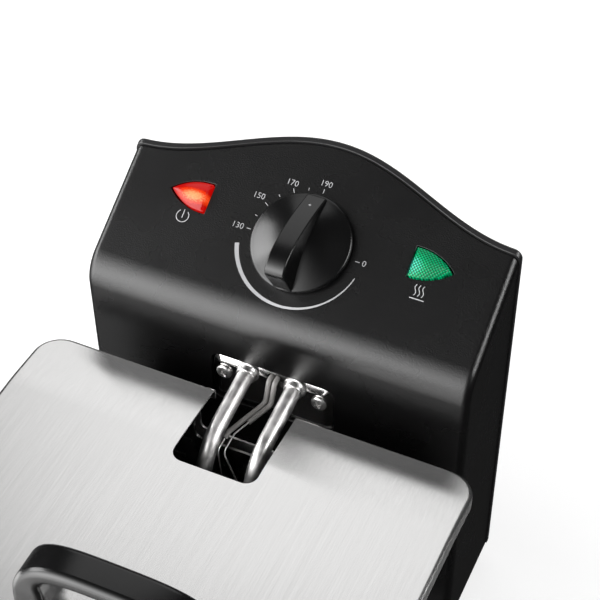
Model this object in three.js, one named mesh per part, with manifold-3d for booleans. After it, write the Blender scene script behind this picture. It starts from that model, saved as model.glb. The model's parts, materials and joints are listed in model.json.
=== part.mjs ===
// Deep fryer with a removable control head, a heating element that dips into a steel oil pot,
// a frying basket with a pull-off handle, and a flat steel lid.
// Units are millimetres. +X is to the right seen from the front, +Y points back to the control head
// and +Z is up. The origin is on the table, under the middle of the whole object's box.
import * as THREE from 'three';
import { mergeVertices } from 'three/addons/utils/BufferGeometryUtils.js';
import Module from 'manifold-3d';

const wasm = await Module();
wasm.setup();

// ---------------------------------------------------------------- driving dimensions

const GAP = 0.3;                 // clearance between pieces that touch
const DEGREE = Math.PI / 180;

// Control head
const HEAD_HALF_WIDTH = 97.5;
const HEAD_FRONT_Y = 157;        // vertical front face
const HEAD_BOTTOM_Z = 9;
const HEAD_TOP_Z = 245;          // above the highest point of the sloping panel
const HEAD_WALL = 2.5;
const HEAD_BEND_RADIUS = 19;     // between the front face and the sloping panel
const HEAD_CORNER_RADIUS = 4;
const BACK_EDGE_Y = 214.6;       // rear edge of the front shell at its sides
const BACK_BULGE = 22.2;         // how far the middle of the rear edge stands behind its sides
const BACK_WAVE_HALF = 97;
const COVER_THICKNESS = 3;
const COVER_PROUD = 0.6;         // how far the rear cover stands past the panel and the sides
const PANEL_SLOPE = 29.4 * DEGREE;
const KNOB_Y = 193.6;            // knob axis where it meets the panel
const KNOB_Z = 212;

// Knob
const KNOB_RADIUS = 24.3;
const KNOB_SKIRT = 4;
const KNOB_DOME = 11;
const KNOB_BAR_HEIGHT = 26;      // near the tail; it falls away towards the pointer
const KNOB_BAR_WIDTH = 9.6;
const KNOB_CLEARANCE = 0.6;      // between the knob and the panel
const POINTER_HEIGHT = 6.8;
const SHAFT_RADIUS = 3;

// Pilot lights
const LENS_INNER_U = 52;
const LENS_TIP_U = 71;
const LENS_LOW_V = 1;
const LENS_HIGH_V = 15;

// Heating element and its plate
const PLATE_HALF_WIDTH = 31.7;
const PLATE_TOP_Z = 160.9;
const PLATE_BOTTOM_Z = 131;
const PLATE_RADIUS = 5;
const PLATE_RECESS = 1.2;
const PLATE_THICKNESS = 1.2;
const TUBE_RADIUS = 4;
const TUBE_HALF_SPACING = 12.3;
const TUBE_EXIT_Z = 155.7;
const TUBE_SLOPE = 9 * DEGREE;
const LEG_Y = 106.6;             // the two vertical legs inside the pot
const LOOP_Z = 45;
const LOOP_OUTER_X = 66;
const LOOP_INNER_X = 24;
const LOOP_FRONT_Y = -82;
const LOOP_REAR_Y = 68;
const CAPILLARY_RADIUS = 1.25;
const CAPILLARY_EXIT_Z = 156.7;
const CAPILLARY_X = [-0.25, 2.75];
const PLATE_SCREW_X = 24.8;
const PLATE_SCREW_Z = 151;
const BUSH_RADIUS = 5.2;
const BULB_RADIUS = 3;
const BULB_X = 5;
const BULB_Z = 52.2;
const BULB_FRONT_Y = -20;
const BULB_REAR_Y = 61.7;
const BULB_CLIP_BOX = [-29.5, 29.5, 18, 26, 38.5, 57];   // x0, x1, y0, y1, z0, z1

// Housing
const HOUSING_HALF_WIDTH = 98;
const HOUSING_FRONT_Y = -114.4;
const HOUSING_BACK_Y = 133.6;
const HOUSING_RADIUS = 22;
const HOUSING_WALL = 1;
const HOUSING_BOTTOM_Z = 12.3;
const HOUSING_TOP_Z = 155.8;
const TUBE_NOTCH_HALF = 26;      // notch in the rear rims where the element tubes cross
const TUBE_NOTCH_Z = 135;
const FOOT_RADIUS = 9;
const FOOT_HEIGHT = 8.7;
const BASE_THICKNESS = 3;

// Oil pot
const POT_HALF_WIDTH = 90;
const POT_FRONT_Y = -108.4;
const POT_BACK_Y = 127.6;
const POT_RADIUS = 24;
const POT_WALL = 1.2;
const POT_FLOOR_Z = 27;
const FLANGE_HALF_WIDTH = 107;
const FLANGE_FRONT_Y = -117.4;
const FLANGE_BACK_Y = 136.1;
const FLANGE_RADIUS = 12;
const FLANGE_TOP_Z = 157.3;

// Lid
const LID_HALF_WIDTH = 111.7;
const LID_BACK_Y = 140.4;
const LID_FRONT_Y = -121.5;
const LID_RADIUS = 14;
const LID_TOP_Z = 158.5;
const LID_SHEET = 0.8;
const LID_SKIRT = 7;
const LID_NOTCH_HALF = 21.1;
const LID_NOTCH_DEPTH = 47.5;
const LID_NOTCH_RADIUS = 6;
const LID_FRONT_NOTCH_HALF = 24;
const LID_FRONT_NOTCH_DEPTH = 26;
const LID_HANDLE_Y = 8;
const LID_HANDLE_HALF = 46;
const LID_HANDLE_HEIGHT = 31;

// Basket
const BASKET_HALF_WIDTH = 80;
const BASKET_FRONT_Y = -99;
const BASKET_BACK_Y = 96;
const BASKET_RADIUS = 20;
const BASKET_WALL = 1.8;
const BASKET_BOTTOM_Z = 60;
const BASKET_TOP_Z = 142;
const BASKET_TAPER = 0.94;       // size of the floor against the rim
const RIM_HEIGHT = 4;
const RIM_WIDTH = 4;
const HANDLE_WIRE_RADIUS = 2;
const HANDLE_WIRE_X = 15;
const HANDLE_Z = 164;
const HANDLE_TIP_Y = -247;
const GRIP_BACK_Y = -132;
const GRIP_HALF_WIDTH = 19;
const GRIP_HALF_HEIGHT = 9;
const GRIP_RADIUS = 14;
const BRACKET_HALF_WIDTH = 21;
const BRACKET_THICKNESS = 2;

// Guides that the head slides down into
const RAIL_X = 62;
const RAIL_LOW_Z = 40;
const RAIL_HIGH_Z = 128;

// Rear cover fittings
const GLAND_Z = 32;
const GLAND_TIP_Y = 247;
const RESET_Z = 112;
const RESET_RADIUS = 4;
const RESET_DEPTH = 10.2;
const COVER_SCREW_X = 86;
const COVER_SCREW_Z = [26, 192];
const SWITCH_X = 34;
const SWITCH_Z = 66;
const PLUNGER_TIP_Y = 152.3;
const PLUNGER_RADIUS = 3;

// Pieces inside the head. A box is x0, x1, y0, y1, z0, z1.
const TERMINAL_BOX = [-24, 24, 176, 192, 40, 54];
const CUTOUT_BOX = [-14, 14, 204, 229, RESET_Z - 14, RESET_Z + 14];
const SWITCH_BOX = [
  SWITCH_X - 14, SWITCH_X + 14, HEAD_FRONT_Y + 8, HEAD_FRONT_Y + 22, SWITCH_Z - 12, SWITCH_Z + 12,
];
const LEAD_RADIUS = 1.3;
const LEAD_BEND = 10;
const LEADS = [
  ['live_lead', 'lead_brown', [[-18, 184, 54.5], [-18, 184, 80], [-30, 196, 120], [-30, 205, 178]]],
  ['neutral_lead', 'lead_blue', [[0, 184, 54.5], [0, 184, 90], [-12.3, 190, 120], [-12.3, 190.5, 150]]],
  ['earth_lead', 'lead_earth', [[18, 184, 54.5], [18, 184, 90], [26, 178, 110], [26, 168, 140]]],
];
const THERMOSTAT_HALF = 17;
const THERMOSTAT_DEPTH = 28;
const LAMP_RADIUS = 3.2;
const LAMP_DEPTH = 19;

// ---------------------------------------------------------------- materials

function material(name, color, roughness, metalness) {
  const made = new THREE.MeshStandardMaterial({ color, roughness, metalness });
  made.name = name;
  return made;
}

const MATERIALS = {
  textured_black: material('textured_black', 0x1b1a1b, 0.5, 0),
  smooth_black: material('smooth_black', 0x161516, 0.35, 0),
  brushed_steel: material('brushed_steel', 0xd9d8d6, 0.32, 1),
  polished_steel: material('polished_steel', 0xdedddb, 0.14, 1),
  element_steel: material('element_steel', 0xb9b7b4, 0.28, 1),
  wire_steel: material('wire_steel', 0xc4c2bf, 0.22, 1),
  rubber: material('rubber', 0x1d1d1d, 0.8, 0),
  silicone: material('silicone', 0xbdbab6, 0.6, 0),
  red_lens: material('red_lens', 0xe8331c, 0.15, 0),
  green_lens: material('green_lens', 0x12a56c, 0.15, 0),
  lamp_glass: material('lamp_glass', 0xe9e2d2, 0.1, 0),
  switch_plastic: material('switch_plastic', 0x3b3a38, 0.5, 0),
  terminal_plastic: material('terminal_plastic', 0xe4dfd2, 0.5, 0),
  brass: material('brass', 0xb58f4a, 0.35, 1),
  lead_brown: material('lead_brown', 0x5a3420, 0.5, 0),
  lead_blue: material('lead_blue', 0x2a4d9c, 0.5, 0),
  lead_earth: material('lead_earth', 0x5f9a33, 0.5, 0),
  reset_red: material('reset_red', 0xb42318, 0.4, 0),
};

// ---------------------------------------------------------------- solids and booleans

function solidOf(geometry) {
  const bare = geometry.clone();
  bare.deleteAttribute('normal');
  bare.deleteAttribute('uv');
  const merged = mergeVertices(bare, 1e-4);
  const corners = merged.index.array;
  const kept = [];
  for (let i = 0; i < corners.length; i += 3) {
    const [a, b, c] = corners.slice(i, i + 3);
    if (a !== b && b !== c && c !== a) kept.push(a, b, c);
  }
  return new wasm.Manifold(new wasm.Mesh({
    numProp: 3,
    vertProperties: new Float32Array(merged.attributes.position.array),
    triVerts: new Uint32Array(kept),
  }));
}

function geometryOf(solid) {
  const mesh = solid.getMesh();
  const geometry = new THREE.BufferGeometry();
  geometry.setAttribute('position', new THREE.BufferAttribute(mesh.vertProperties, 3));
  geometry.setIndex(new THREE.BufferAttribute(mesh.triVerts, 1));
  geometry.computeVertexNormals();
  return geometry;
}

function combine(operation, base, tools) {
  let solid = solidOf(base);
  for (const tool of tools) solid = solid[operation](solidOf(tool));
  return geometryOf(solid);
}

const cut = (base, ...tools) => combine('subtract', base, tools);
const join = (base, ...tools) => combine('add', base, tools);
const common = (base, ...tools) => combine('intersect', base, tools);

// A box between two corners.
function block(x0, x1, y0, y1, z0, z1) {
  const geometry = new THREE.BoxGeometry(x1 - x0, y1 - y0, z1 - z0);
  return geometry.translate((x0 + x1) / 2, (y0 + y1) / 2, (z0 + z1) / 2);
}

// An outline in XY, thickened from z0 to z1.
function slab(shape, z0, z1, curveSegments = 3) {
  const geometry = new THREE.ExtrudeGeometry(shape, { depth: z1 - z0, bevelEnabled: false, curveSegments });
  return geometry.translate(0, 0, z0);
}

// An outline given as (y, z), thickened from x0 to x1.
function sideSlab(shape, x0, x1, curveSegments = 3) {
  const turn = new THREE.Matrix4().makeBasis(
    new THREE.Vector3(0, 1, 0),
    new THREE.Vector3(0, 0, 1),
    new THREE.Vector3(1, 0, 0),
  );
  return slab(shape, x0, x1, curveSegments).applyMatrix4(turn);
}

// An outline given as (x, z), thickened from y0 to y1.
function frontSlab(shape, y0, y1, curveSegments = 3) {
  const geometry = slab(shape, -y1, -y0, curveSegments);
  return geometry.rotateX(Math.PI / 2);
}

function roundedRectangle(x0, x1, y0, y1, r) {
  const shape = new THREE.Shape();
  shape.moveTo(x0 + r, y0);
  shape.lineTo(x1 - r, y0);
  shape.absarc(x1 - r, y0 + r, r, -Math.PI / 2, 0, false);
  shape.lineTo(x1, y1 - r);
  shape.absarc(x1 - r, y1 - r, r, 0, Math.PI / 2, false);
  shape.lineTo(x0 + r, y1);
  shape.absarc(x0 + r, y1 - r, r, Math.PI / 2, Math.PI, false);
  shape.lineTo(x0, y0 + r);
  shape.absarc(x0 + r, y0 + r, r, Math.PI, Math.PI * 1.5, false);
  return shape;
}

function polygon(points) {
  return new THREE.Shape(points.map(([x, y]) => new THREE.Vector2(x, y)));
}

function disc(radius, sides) {
  const points = [];
  for (let i = 0; i < sides; i += 1) {
    const angle = (2 * Math.PI * i) / sides;
    points.push([radius * Math.cos(angle), radius * Math.sin(angle)]);
  }
  return polygon(points);
}

// A round bar standing on Z.
const barZ = (radius, z0, z1, sides = 20) => slab(disc(radius, sides), z0, z1);

// A round bar lying along Y at x, z.
function barY(radius, y0, y1, x = 0, z = 0, sides = 20) {
  return frontSlab(disc(radius, sides), y0, y1).translate(x, 0, z);
}

// A body of revolution about Z. The profile is a list of (radius, z) pairs.
function turned(profile, sides = 32) {
  const points = profile.map(([radius, z]) => new THREE.Vector2(radius, z));
  return new THREE.LatheGeometry(points, sides).rotateX(Math.PI / 2);
}

// A centre line of straight runs joined by arcs, with a station at each end of a run
// and a few along each arc.
class BentLine extends THREE.Curve {
  constructor(corners, bendRadii, arcSteps = 5) {
    super();
    const points = corners.map((corner) => new THREE.Vector3(...corner));
    const heading = (i) => points[i + 1].clone().sub(points[i]).normalize();
    this.stations = [{ point: points[0], tangent: heading(0) }];
    for (let i = 1; i < points.length - 1; i += 1) {
      this.addBend(points[i], heading(i - 1), heading(i), bendRadii[i - 1] ?? bendRadii[0], arcSteps);
    }
    this.stations.push({ point: points.at(-1), tangent: heading(points.length - 2) });
  }

  addBend(corner, before, after, radius, arcSteps) {
    const turn = before.angleTo(after);
    const start = corner.clone().addScaledVector(before, -radius * Math.tan(turn / 2));
    const inward = after.clone().addScaledVector(before, -after.dot(before)).normalize();
    const centre = start.clone().addScaledVector(inward, radius);
    for (let k = 0; k <= arcSteps; k += 1) {
      const angle = (turn * k) / arcSteps;
      const point = centre.clone()
        .addScaledVector(inward, -radius * Math.cos(angle))
        .addScaledVector(before, radius * Math.sin(angle));
      const tangent = before.clone().multiplyScalar(Math.cos(angle)).addScaledVector(inward, Math.sin(angle));
      this.stations.push({ point, tangent });
    }
  }

  stationAt(u) {
    return this.stations[Math.round(u * (this.stations.length - 1))];
  }

  getPoint(u) {
    return this.stationAt(u).point.clone();
  }

  getPointAt(u) {
    return this.getPoint(u);
  }

  getTangentAt(u) {
    return this.stationAt(u).tangent.clone();
  }
}

// A round bar along a bent line.
function bentRod(line, radius, sides = 8) {
  return new THREE.ExtrudeGeometry(disc(radius, sides), {
    steps: line.stations.length - 1,
    extrudePath: line,
    bevelEnabled: false,
  });
}

// A tub: walls around a floor, open at the top.
function tub(outline, z0, z1, wall) {
  const outer = slab(outline(0), z0, z1);
  const inner = slab(outline(wall), z0 + wall, z1 + 1);
  return cut(outer, inner);
}

// ---------------------------------------------------------------- scene helpers

const fryer = new THREE.Group();

function bodyGroup() {
  const group = new THREE.Group();
  fryer.add(group);
  return group;
}

function addPiece(group, name, geometry, materialName, x = 0, y = 0, z = 0) {
  const mesh = new THREE.Mesh(geometry, MATERIALS[materialName]);
  mesh.name = name;
  mesh.position.set(x, y, z);
  group.add(mesh);
  return mesh;
}

const SIDES = [
  { side: 'left', sign: -1 },
  { side: 'right', sign: 1 },
];

// ---------------------------------------------------------------- housing

function housingOutline(inset) {
  return roundedRectangle(
    -HOUSING_HALF_WIDTH + inset,
    HOUSING_HALF_WIDTH - inset,
    HOUSING_FRONT_Y + inset,
    HOUSING_BACK_Y - inset,
    HOUSING_RADIUS - inset,
  );
}

function outerHousing() {
  const skin = slab(housingOutline(0), HOUSING_BOTTOM_Z, HOUSING_TOP_Z);
  const inside = slab(housingOutline(HOUSING_WALL), HOUSING_BOTTOM_Z - 1, HOUSING_TOP_Z + 1);
  const notch = block(
    -TUBE_NOTCH_HALF, TUBE_NOTCH_HALF,
    HOUSING_BACK_Y - 5, HOUSING_BACK_Y + 5,
    TUBE_NOTCH_Z, HOUSING_TOP_Z + 1,
  );
  return cut(skin, inside, notch);
}

// A strap handle on the side of the housing, with room for the fingers behind it.
function carryHandle(sign) {
  const reach = 20;
  const halfLength = 48;
  const shape = roundedRectangle(0, reach, -halfLength, halfLength, 8);
  const gap = roundedRectangle(-1, reach - 5, -halfLength + 14, halfLength - 14, 4);
  const strap = cut(slab(shape, 0, 16), slab(gap, -1, 17));
  if (sign < 0) strap.rotateZ(Math.PI);
  return strap;
}

// A channel that holds the head's runner, open at the top and closed at the bottom.
function guideRail() {
  const channel = polygon([
    [-9, 0], [9, 0], [9, 15], [3, 15], [3, 12], [6.5, 12],
    [6.5, 3], [-6.5, 3], [-6.5, 12], [-3, 12], [-3, 15], [-9, 15],
  ]);
  const stop = block(-9, 9, 0, 15, RAIL_LOW_Z - 3, RAIL_LOW_Z + 0.5);
  return join(slab(channel, RAIL_LOW_Z, RAIL_HIGH_Z), stop);
}

function buildHousing() {
  const group = bodyGroup();
  addPiece(group, 'outer_housing', outerHousing(), 'brushed_steel');
  const base = slab(housingOutline(0), HOUSING_BOTTOM_Z - GAP - BASE_THICKNESS, HOUSING_BOTTOM_Z - GAP);
  addPiece(group, 'base_plate', base, 'textured_black');
  const footProfile = [
    [0, 0], [FOOT_RADIUS - 1, 0], [FOOT_RADIUS, 1.5], [FOOT_RADIUS - 1, FOOT_HEIGHT], [0, FOOT_HEIGHT],
  ];
  for (const { side, sign } of SIDES) {
    for (const [end, y] of [['front', HOUSING_FRONT_Y + 26], ['rear', HOUSING_BACK_Y - 22]]) {
      const x = sign * (HOUSING_HALF_WIDTH - 24);
      addPiece(group, `foot_${end}_${side}`, turned(footProfile, 20), 'rubber', x, y, 0);
    }
    const handleX = sign * (HOUSING_HALF_WIDTH + GAP);
    addPiece(group, `carry_handle_${side}`, carryHandle(sign), 'smooth_black', handleX, 9, 112);
    const railY = HOUSING_BACK_Y + GAP;
    addPiece(group, `guide_rail_${side}`, guideRail(), 'textured_black', sign * RAIL_X, railY, 0);
  }
  const finger = block(-4, 4, HOUSING_BACK_Y + GAP, PLUNGER_TIP_Y - GAP, -5, 5);
  addPiece(group, 'switch_finger', finger, 'textured_black', SWITCH_X, 0, SWITCH_Z);
}

// ---------------------------------------------------------------- oil pot

function potOutline(inset) {
  return roundedRectangle(
    -POT_HALF_WIDTH + inset,
    POT_HALF_WIDTH - inset,
    POT_FRONT_Y + inset,
    POT_BACK_Y - inset,
    POT_RADIUS - inset,
  );
}

function buildPot() {
  const group = bodyGroup();
  const flangeOutline = roundedRectangle(
    -FLANGE_HALF_WIDTH, FLANGE_HALF_WIDTH, FLANGE_FRONT_Y, FLANGE_BACK_Y, FLANGE_RADIUS,
  );
  const flange = slab(flangeOutline, FLANGE_TOP_Z - POT_WALL, FLANGE_TOP_Z);
  const walls = slab(potOutline(0), POT_FLOOR_Z, FLANGE_TOP_Z - POT_WALL / 2);
  const inside = slab(potOutline(POT_WALL), POT_FLOOR_Z + POT_WALL, FLANGE_TOP_Z + 1);
  const notch = block(
    -TUBE_NOTCH_HALF, TUBE_NOTCH_HALF,
    POT_BACK_Y - 5, FLANGE_BACK_Y + 1,
    TUBE_NOTCH_Z, FLANGE_TOP_Z + 1,
  );
  addPiece(group, 'oil_pot', cut(join(flange, walls), inside, notch), 'brushed_steel');
}

// ---------------------------------------------------------------- control head shells

// Height of the panel plane above the table at y, shifted along the panel's normal.
function panelZ(y, shift = 0) {
  return KNOB_Z + (y - KNOB_Y) * Math.tan(PANEL_SLOPE) + shift / Math.cos(PANEL_SLOPE);
}

// The rear edge of the head seen from above: a wave that bulges back in the middle.
function waveY(x) {
  const along = Math.min(Math.abs(x), BACK_WAVE_HALF) / BACK_WAVE_HALF;
  return BACK_EDGE_Y + BACK_BULGE * (1 + Math.cos(Math.PI * along)) / 2;
}

function wavePoints(shift, half = HEAD_HALF_WIDTH, steps = 24) {
  const points = [];
  for (let i = 0; i <= steps; i += 1) {
    const x = half * (1 - (2 * i) / steps);
    points.push([x, waveY(x) + shift]);
  }
  return points;
}

// Side view of the head, as (y, z): front face, bend and sloping panel.
function headSideShape(inset, farY) {
  const frontY = HEAD_FRONT_Y + inset;
  const radius = HEAD_BEND_RADIUS - inset;
  const cornerZ = panelZ(frontY, -inset);
  const turn = Math.PI / 2 - PANEL_SLOPE;
  const bendZ = cornerZ - radius * Math.tan(turn / 2);
  const shape = new THREE.Shape();
  shape.moveTo(farY, HEAD_BOTTOM_Z + inset);
  shape.lineTo(farY, panelZ(farY, -inset));
  shape.absarc(frontY + radius, bendZ, radius, Math.PI / 2 + PANEL_SLOPE, Math.PI, false);
  shape.lineTo(frontY, HEAD_BOTTOM_Z + inset);
  return shape;
}

// Plan view of the front shell: straight front and sides, wave at the back.
function headPlanShape() {
  const r = HEAD_CORNER_RADIUS;
  const half = HEAD_HALF_WIDTH;
  const shape = new THREE.Shape();
  shape.moveTo(-half + r, HEAD_FRONT_Y);
  shape.lineTo(half - r, HEAD_FRONT_Y);
  shape.absarc(half - r, HEAD_FRONT_Y + r, r, -Math.PI / 2, 0, false);
  for (const [x, y] of wavePoints(0)) shape.lineTo(x, y);
  shape.lineTo(-half, HEAD_FRONT_Y + r);
  shape.absarc(-half + r, HEAD_FRONT_Y + r, r, Math.PI, Math.PI * 1.5, false);
  return shape;
}

// Outline of a pilot light in the panel's own plane, for the right-hand side.
function lensShape(grow, sign) {
  const innerU = sign * (LENS_INNER_U - grow);
  const tipU = sign * (LENS_TIP_U + grow * 1.5);
  const bellyU = sign * (LENS_INNER_U + 11 + grow);
  const tipV = (LENS_LOW_V + LENS_HIGH_V) / 2;
  const shape = new THREE.Shape();
  shape.moveTo(innerU, LENS_LOW_V - grow);
  shape.quadraticCurveTo(bellyU, LENS_LOW_V - grow - 0.5, tipU, tipV);
  shape.quadraticCurveTo(bellyU, LENS_HIGH_V + grow + 0.5, innerU, LENS_HIGH_V + grow);
  return shape;
}

function panelMatrix() {
  return new THREE.Matrix4().makeRotationX(PANEL_SLOPE).setPosition(0, KNOB_Y, KNOB_Z);
}

function onPanel(geometry) {
  return geometry.applyMatrix4(panelMatrix());
}

function plateOutline(grow) {
  return roundedRectangle(
    -PLATE_HALF_WIDTH - grow, PLATE_HALF_WIDTH + grow,
    PLATE_BOTTOM_Z - grow, PLATE_TOP_Z + grow,
    PLATE_RADIUS + grow,
  );
}

function frontShell() {
  const farY = 262;
  const half = HEAD_HALF_WIDTH;
  const outer = common(
    sideSlab(headSideShape(0, farY), -half - 1, half + 1, 6),
    slab(headPlanShape(), 0, HEAD_TOP_Z),
  );
  const inside = sideSlab(headSideShape(HEAD_WALL, farY), -half + HEAD_WALL, half - HEAD_WALL, 6);
  const openings = [
    frontSlab(plateOutline(0.4), HEAD_FRONT_Y - 1, HEAD_FRONT_Y + HEAD_WALL + 1),
    onPanel(barZ(SHAFT_RADIUS + 1.5, -HEAD_WALL - 1, 1)),
    onPanel(slab(lensShape(0.4, 1), -HEAD_WALL - 1, 1, 8)),
    onPanel(slab(lensShape(0.4, -1), -HEAD_WALL - 1, 1, 8)),
    barY(3.6, HEAD_FRONT_Y - 1, HEAD_FRONT_Y + HEAD_WALL + 1, SWITCH_X, SWITCH_Z, 12),
  ];
  let shell = cut(outer, inside, ...openings);
  for (const { sign } of SIDES) {
    for (const z of COVER_SCREW_Z) {
      const x0 = sign > 0 ? COVER_SCREW_X - 5 : -half + 1;
      const x1 = sign > 0 ? half - 1 : -COVER_SCREW_X + 5;
      const boss = block(x0, x1, 192, BACK_EDGE_Y - 0.2, z - 5, z + 5);
      const pilot = barY(1.8, 191, BACK_EDGE_Y + 1, sign * COVER_SCREW_X, z, 10);
      shell = cut(join(shell, boss), pilot);
    }
  }
  return shell;
}

// A plate that follows the wave and stands slightly proud of the panel and the sides.
function rearCover() {
  const half = HEAD_HALF_WIDTH + COVER_PROUD;
  const near = wavePoints(GAP, half);
  const far = wavePoints(GAP + COVER_THICKNESS, half).reverse();
  const band = slab(polygon([...near, ...far]), HEAD_BOTTOM_Z, HEAD_TOP_Z + 10);
  const underPanel = sideSlab(headSideShape(-COVER_PROUD, 262), -half - 1, half + 1, 6);
  const openings = [
    barY(6.3, 225, 245, 0, GLAND_Z),
    barY(RESET_RADIUS + 0.4, 225, 245, 0, RESET_Z),
  ];
  for (const { sign } of SIDES) {
    for (const z of COVER_SCREW_Z) openings.push(barY(2.3, 205, 225, sign * COVER_SCREW_X, z, 10));
  }
  for (let i = 0; i < 5; i += 1) {
    const z = 150 + i * 9;
    openings.push(frontSlab(roundedRectangle(-34, 34, z, z + 4, 1.9), 220, 250, 2));
  }
  return cut(common(band, underPanel), ...openings);
}

// ---------------------------------------------------------------- heating element

function elementLine() {
  const x = TUBE_HALF_SPACING;
  const dropY = HEAD_FRONT_Y - 2.5;
  const legTopZ = TUBE_EXIT_Z - (dropY - LEG_Y) * Math.tan(TUBE_SLOPE);
  const outer = LOOP_OUTER_X;
  const inner = LOOP_INNER_X;
  const half = [
    [-x, 186, TUBE_EXIT_Z],
    [-x, dropY, TUBE_EXIT_Z],
    [-x, LEG_Y, legTopZ],
    [-x, LEG_Y, LOOP_Z],
    [-outer, LEG_Y, LOOP_Z],
    [-outer, LOOP_FRONT_Y, LOOP_Z],
    [-inner, LOOP_FRONT_Y, LOOP_Z],
    [-inner, LOOP_REAR_Y, LOOP_Z],
  ];
  const mirrored = half.map(([px, py, pz]) => [-px, py, pz]).reverse();
  const uTurn = (outer - inner) / 2 - 0.05;
  const radii = [24, 24, 12, 14, uTurn, uTurn, inner - 0.05];
  return new BentLine([...half, ...mirrored], [...radii, ...[...radii].reverse()], 5);
}

function capillaryLine(startX, bulbX) {
  return new BentLine([
    [startX, 174, CAPILLARY_EXIT_Z],
    [startX, 154.8, CAPILLARY_EXIT_Z],
    [startX, 150.5, 146],
    [startX - 10, 131, 141],
    [startX - 10.5, 120, 139],
    [bulbX, 113.5, 122],
    [bulbX, 113.5, 62],
    [bulbX, 98, BULB_Z],
    [bulbX, BULB_REAR_Y + GAP, BULB_Z],
  ], [2, 4, 4, 4, 5, 8, 8], 3);
}

// The hole that both capillaries leave by, as (x, z).
function capillarySlot(room) {
  const reach = CAPILLARY_RADIUS + room;
  return roundedRectangle(
    CAPILLARY_X[0] - reach, CAPILLARY_X[1] + reach,
    CAPILLARY_EXIT_Z - reach, CAPILLARY_EXIT_Z + reach,
    reach - 0.1,
  );
}

function elementPlate() {
  const y0 = HEAD_FRONT_Y + PLATE_RECESS;
  const y1 = y0 + PLATE_THICKNESS;
  const holes = [frontSlab(capillarySlot(0.8), y0 - 1, y1 + 1, 2)];
  for (const { sign } of SIDES) {
    holes.push(barY(TUBE_RADIUS + GAP, y0 - 1, y1 + 1, sign * TUBE_HALF_SPACING, TUBE_EXIT_Z));
    holes.push(barY(2.1, y0 - 1, y1 + 1, sign * PLATE_SCREW_X, PLATE_SCREW_Z, 12));
  }
  return cut(frontSlab(plateOutline(0), y0, y1), ...holes);
}

function plateGasket() {
  const y0 = HEAD_FRONT_Y + HEAD_WALL + GAP;
  const y1 = y0 + 2;
  const holes = [frontSlab(capillarySlot(1.2), y0 - 1, y1 + 1, 2)];
  for (const { sign } of SIDES) {
    holes.push(barY(TUBE_RADIUS + GAP, y0 - 1, y1 + 1, sign * TUBE_HALF_SPACING, TUBE_EXIT_Z));
    holes.push(barY(2.1, y0 - 1, y1 + 1, sign * PLATE_SCREW_X, PLATE_SCREW_Z, 12));
  }
  return cut(frontSlab(plateOutline(6), y0, y1), ...holes);
}

// A ring round the tube where it leaves the plate.
function elementBush() {
  const y1 = HEAD_FRONT_Y + PLATE_RECESS - GAP;
  const ring = barY(BUSH_RADIUS, y1 - 2, y1);
  return cut(ring, barY(TUBE_RADIUS + GAP, y1 - 3, y1 + 1));
}

// A pan-head screw with a cross recess; its axis is Y and its head faces -Y.
function panScrew(headRadius, headHeight, shankRadius, shankLength) {
  const head = turned([
    [0, 0], [shankRadius, 0], [headRadius, 0], [headRadius, headHeight * 0.4],
    [headRadius * 0.7, headHeight * 0.9], [0, headHeight],
  ], 16);
  const shank = barZ(shankRadius, -shankLength, 0.2, 10);
  const arm = headRadius * 0.5;
  const slot = headRadius * 0.11;
  const recessA = block(-arm, arm, -slot, slot, headHeight * 0.5, headHeight + 1);
  const recessB = block(-slot, slot, -arm, arm, headHeight * 0.5, headHeight + 1);
  return cut(join(head, shank), recessA, recessB).rotateX(Math.PI / 2);
}

// A block clipped between the inner passes of the element, with a bore for each bulb.
function bulbClip() {
  const [, , y0, y1] = BULB_CLIP_BOX;
  const bores = SIDES.flatMap(({ sign }) => [
    barY(TUBE_RADIUS + GAP, y0 - 1, y1 + 1, sign * LOOP_INNER_X, LOOP_Z, 12),
    barY(BULB_RADIUS + GAP, y0 - 1, y1 + 1, sign * BULB_X, BULB_Z, 12),
  ]);
  return cut(block(...BULB_CLIP_BOX), ...bores);
}

function buildElement(head) {
  addPiece(head, 'heating_element', bentRod(elementLine(), TUBE_RADIUS, 12), 'element_steel');
  addPiece(head, 'element_plate', elementPlate(), 'polished_steel');
  addPiece(head, 'plate_gasket', plateGasket(), 'rubber');
  for (const { side, sign } of SIDES) {
    const tubeX = sign * TUBE_HALF_SPACING;
    addPiece(head, `element_bush_${side}`, elementBush(), 'polished_steel', tubeX, 0, TUBE_EXIT_Z);
    const screwY = HEAD_FRONT_Y + PLATE_RECESS - GAP;
    const screw = panScrew(3.5, 2, 1.7, 9);
    addPiece(head, `plate_screw_${side}`, screw, 'polished_steel', sign * PLATE_SCREW_X, screwY, PLATE_SCREW_Z);
  }
  const [leftX, rightX] = CAPILLARY_X;
  const thermostatLine = capillaryLine(leftX, -BULB_X);
  const cutoutLine = capillaryLine(rightX, BULB_X);
  addPiece(head, 'thermostat_capillary', bentRod(thermostatLine, CAPILLARY_RADIUS, 8), 'silicone');
  addPiece(head, 'cutout_capillary', bentRod(cutoutLine, CAPILLARY_RADIUS, 8), 'silicone');
  for (const [name, x] of [['thermostat_bulb', -BULB_X], ['cutout_bulb', BULB_X]]) {
    addPiece(head, name, barY(BULB_RADIUS, BULB_FRONT_Y, BULB_REAR_Y, x, BULB_Z, 12), 'element_steel');
  }
  addPiece(head, 'bulb_clip', bulbClip(), 'element_steel');
}

// ---------------------------------------------------------------- control head

// The half of the sliding guide that belongs to the head: a T-shaped bar.
function headRunner() {
  const y1 = HEAD_FRONT_Y - HOUSING_BACK_Y - GAP;
  const tee = polygon([
    [-6, 4], [6, 4], [6, 11], [2.5, 11], [2.5, y1], [-2.5, y1], [-2.5, 11], [-6, 11],
  ]);
  return slab(tee, RAIL_LOW_Z + 1, RAIL_HIGH_Z - 4);
}

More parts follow.
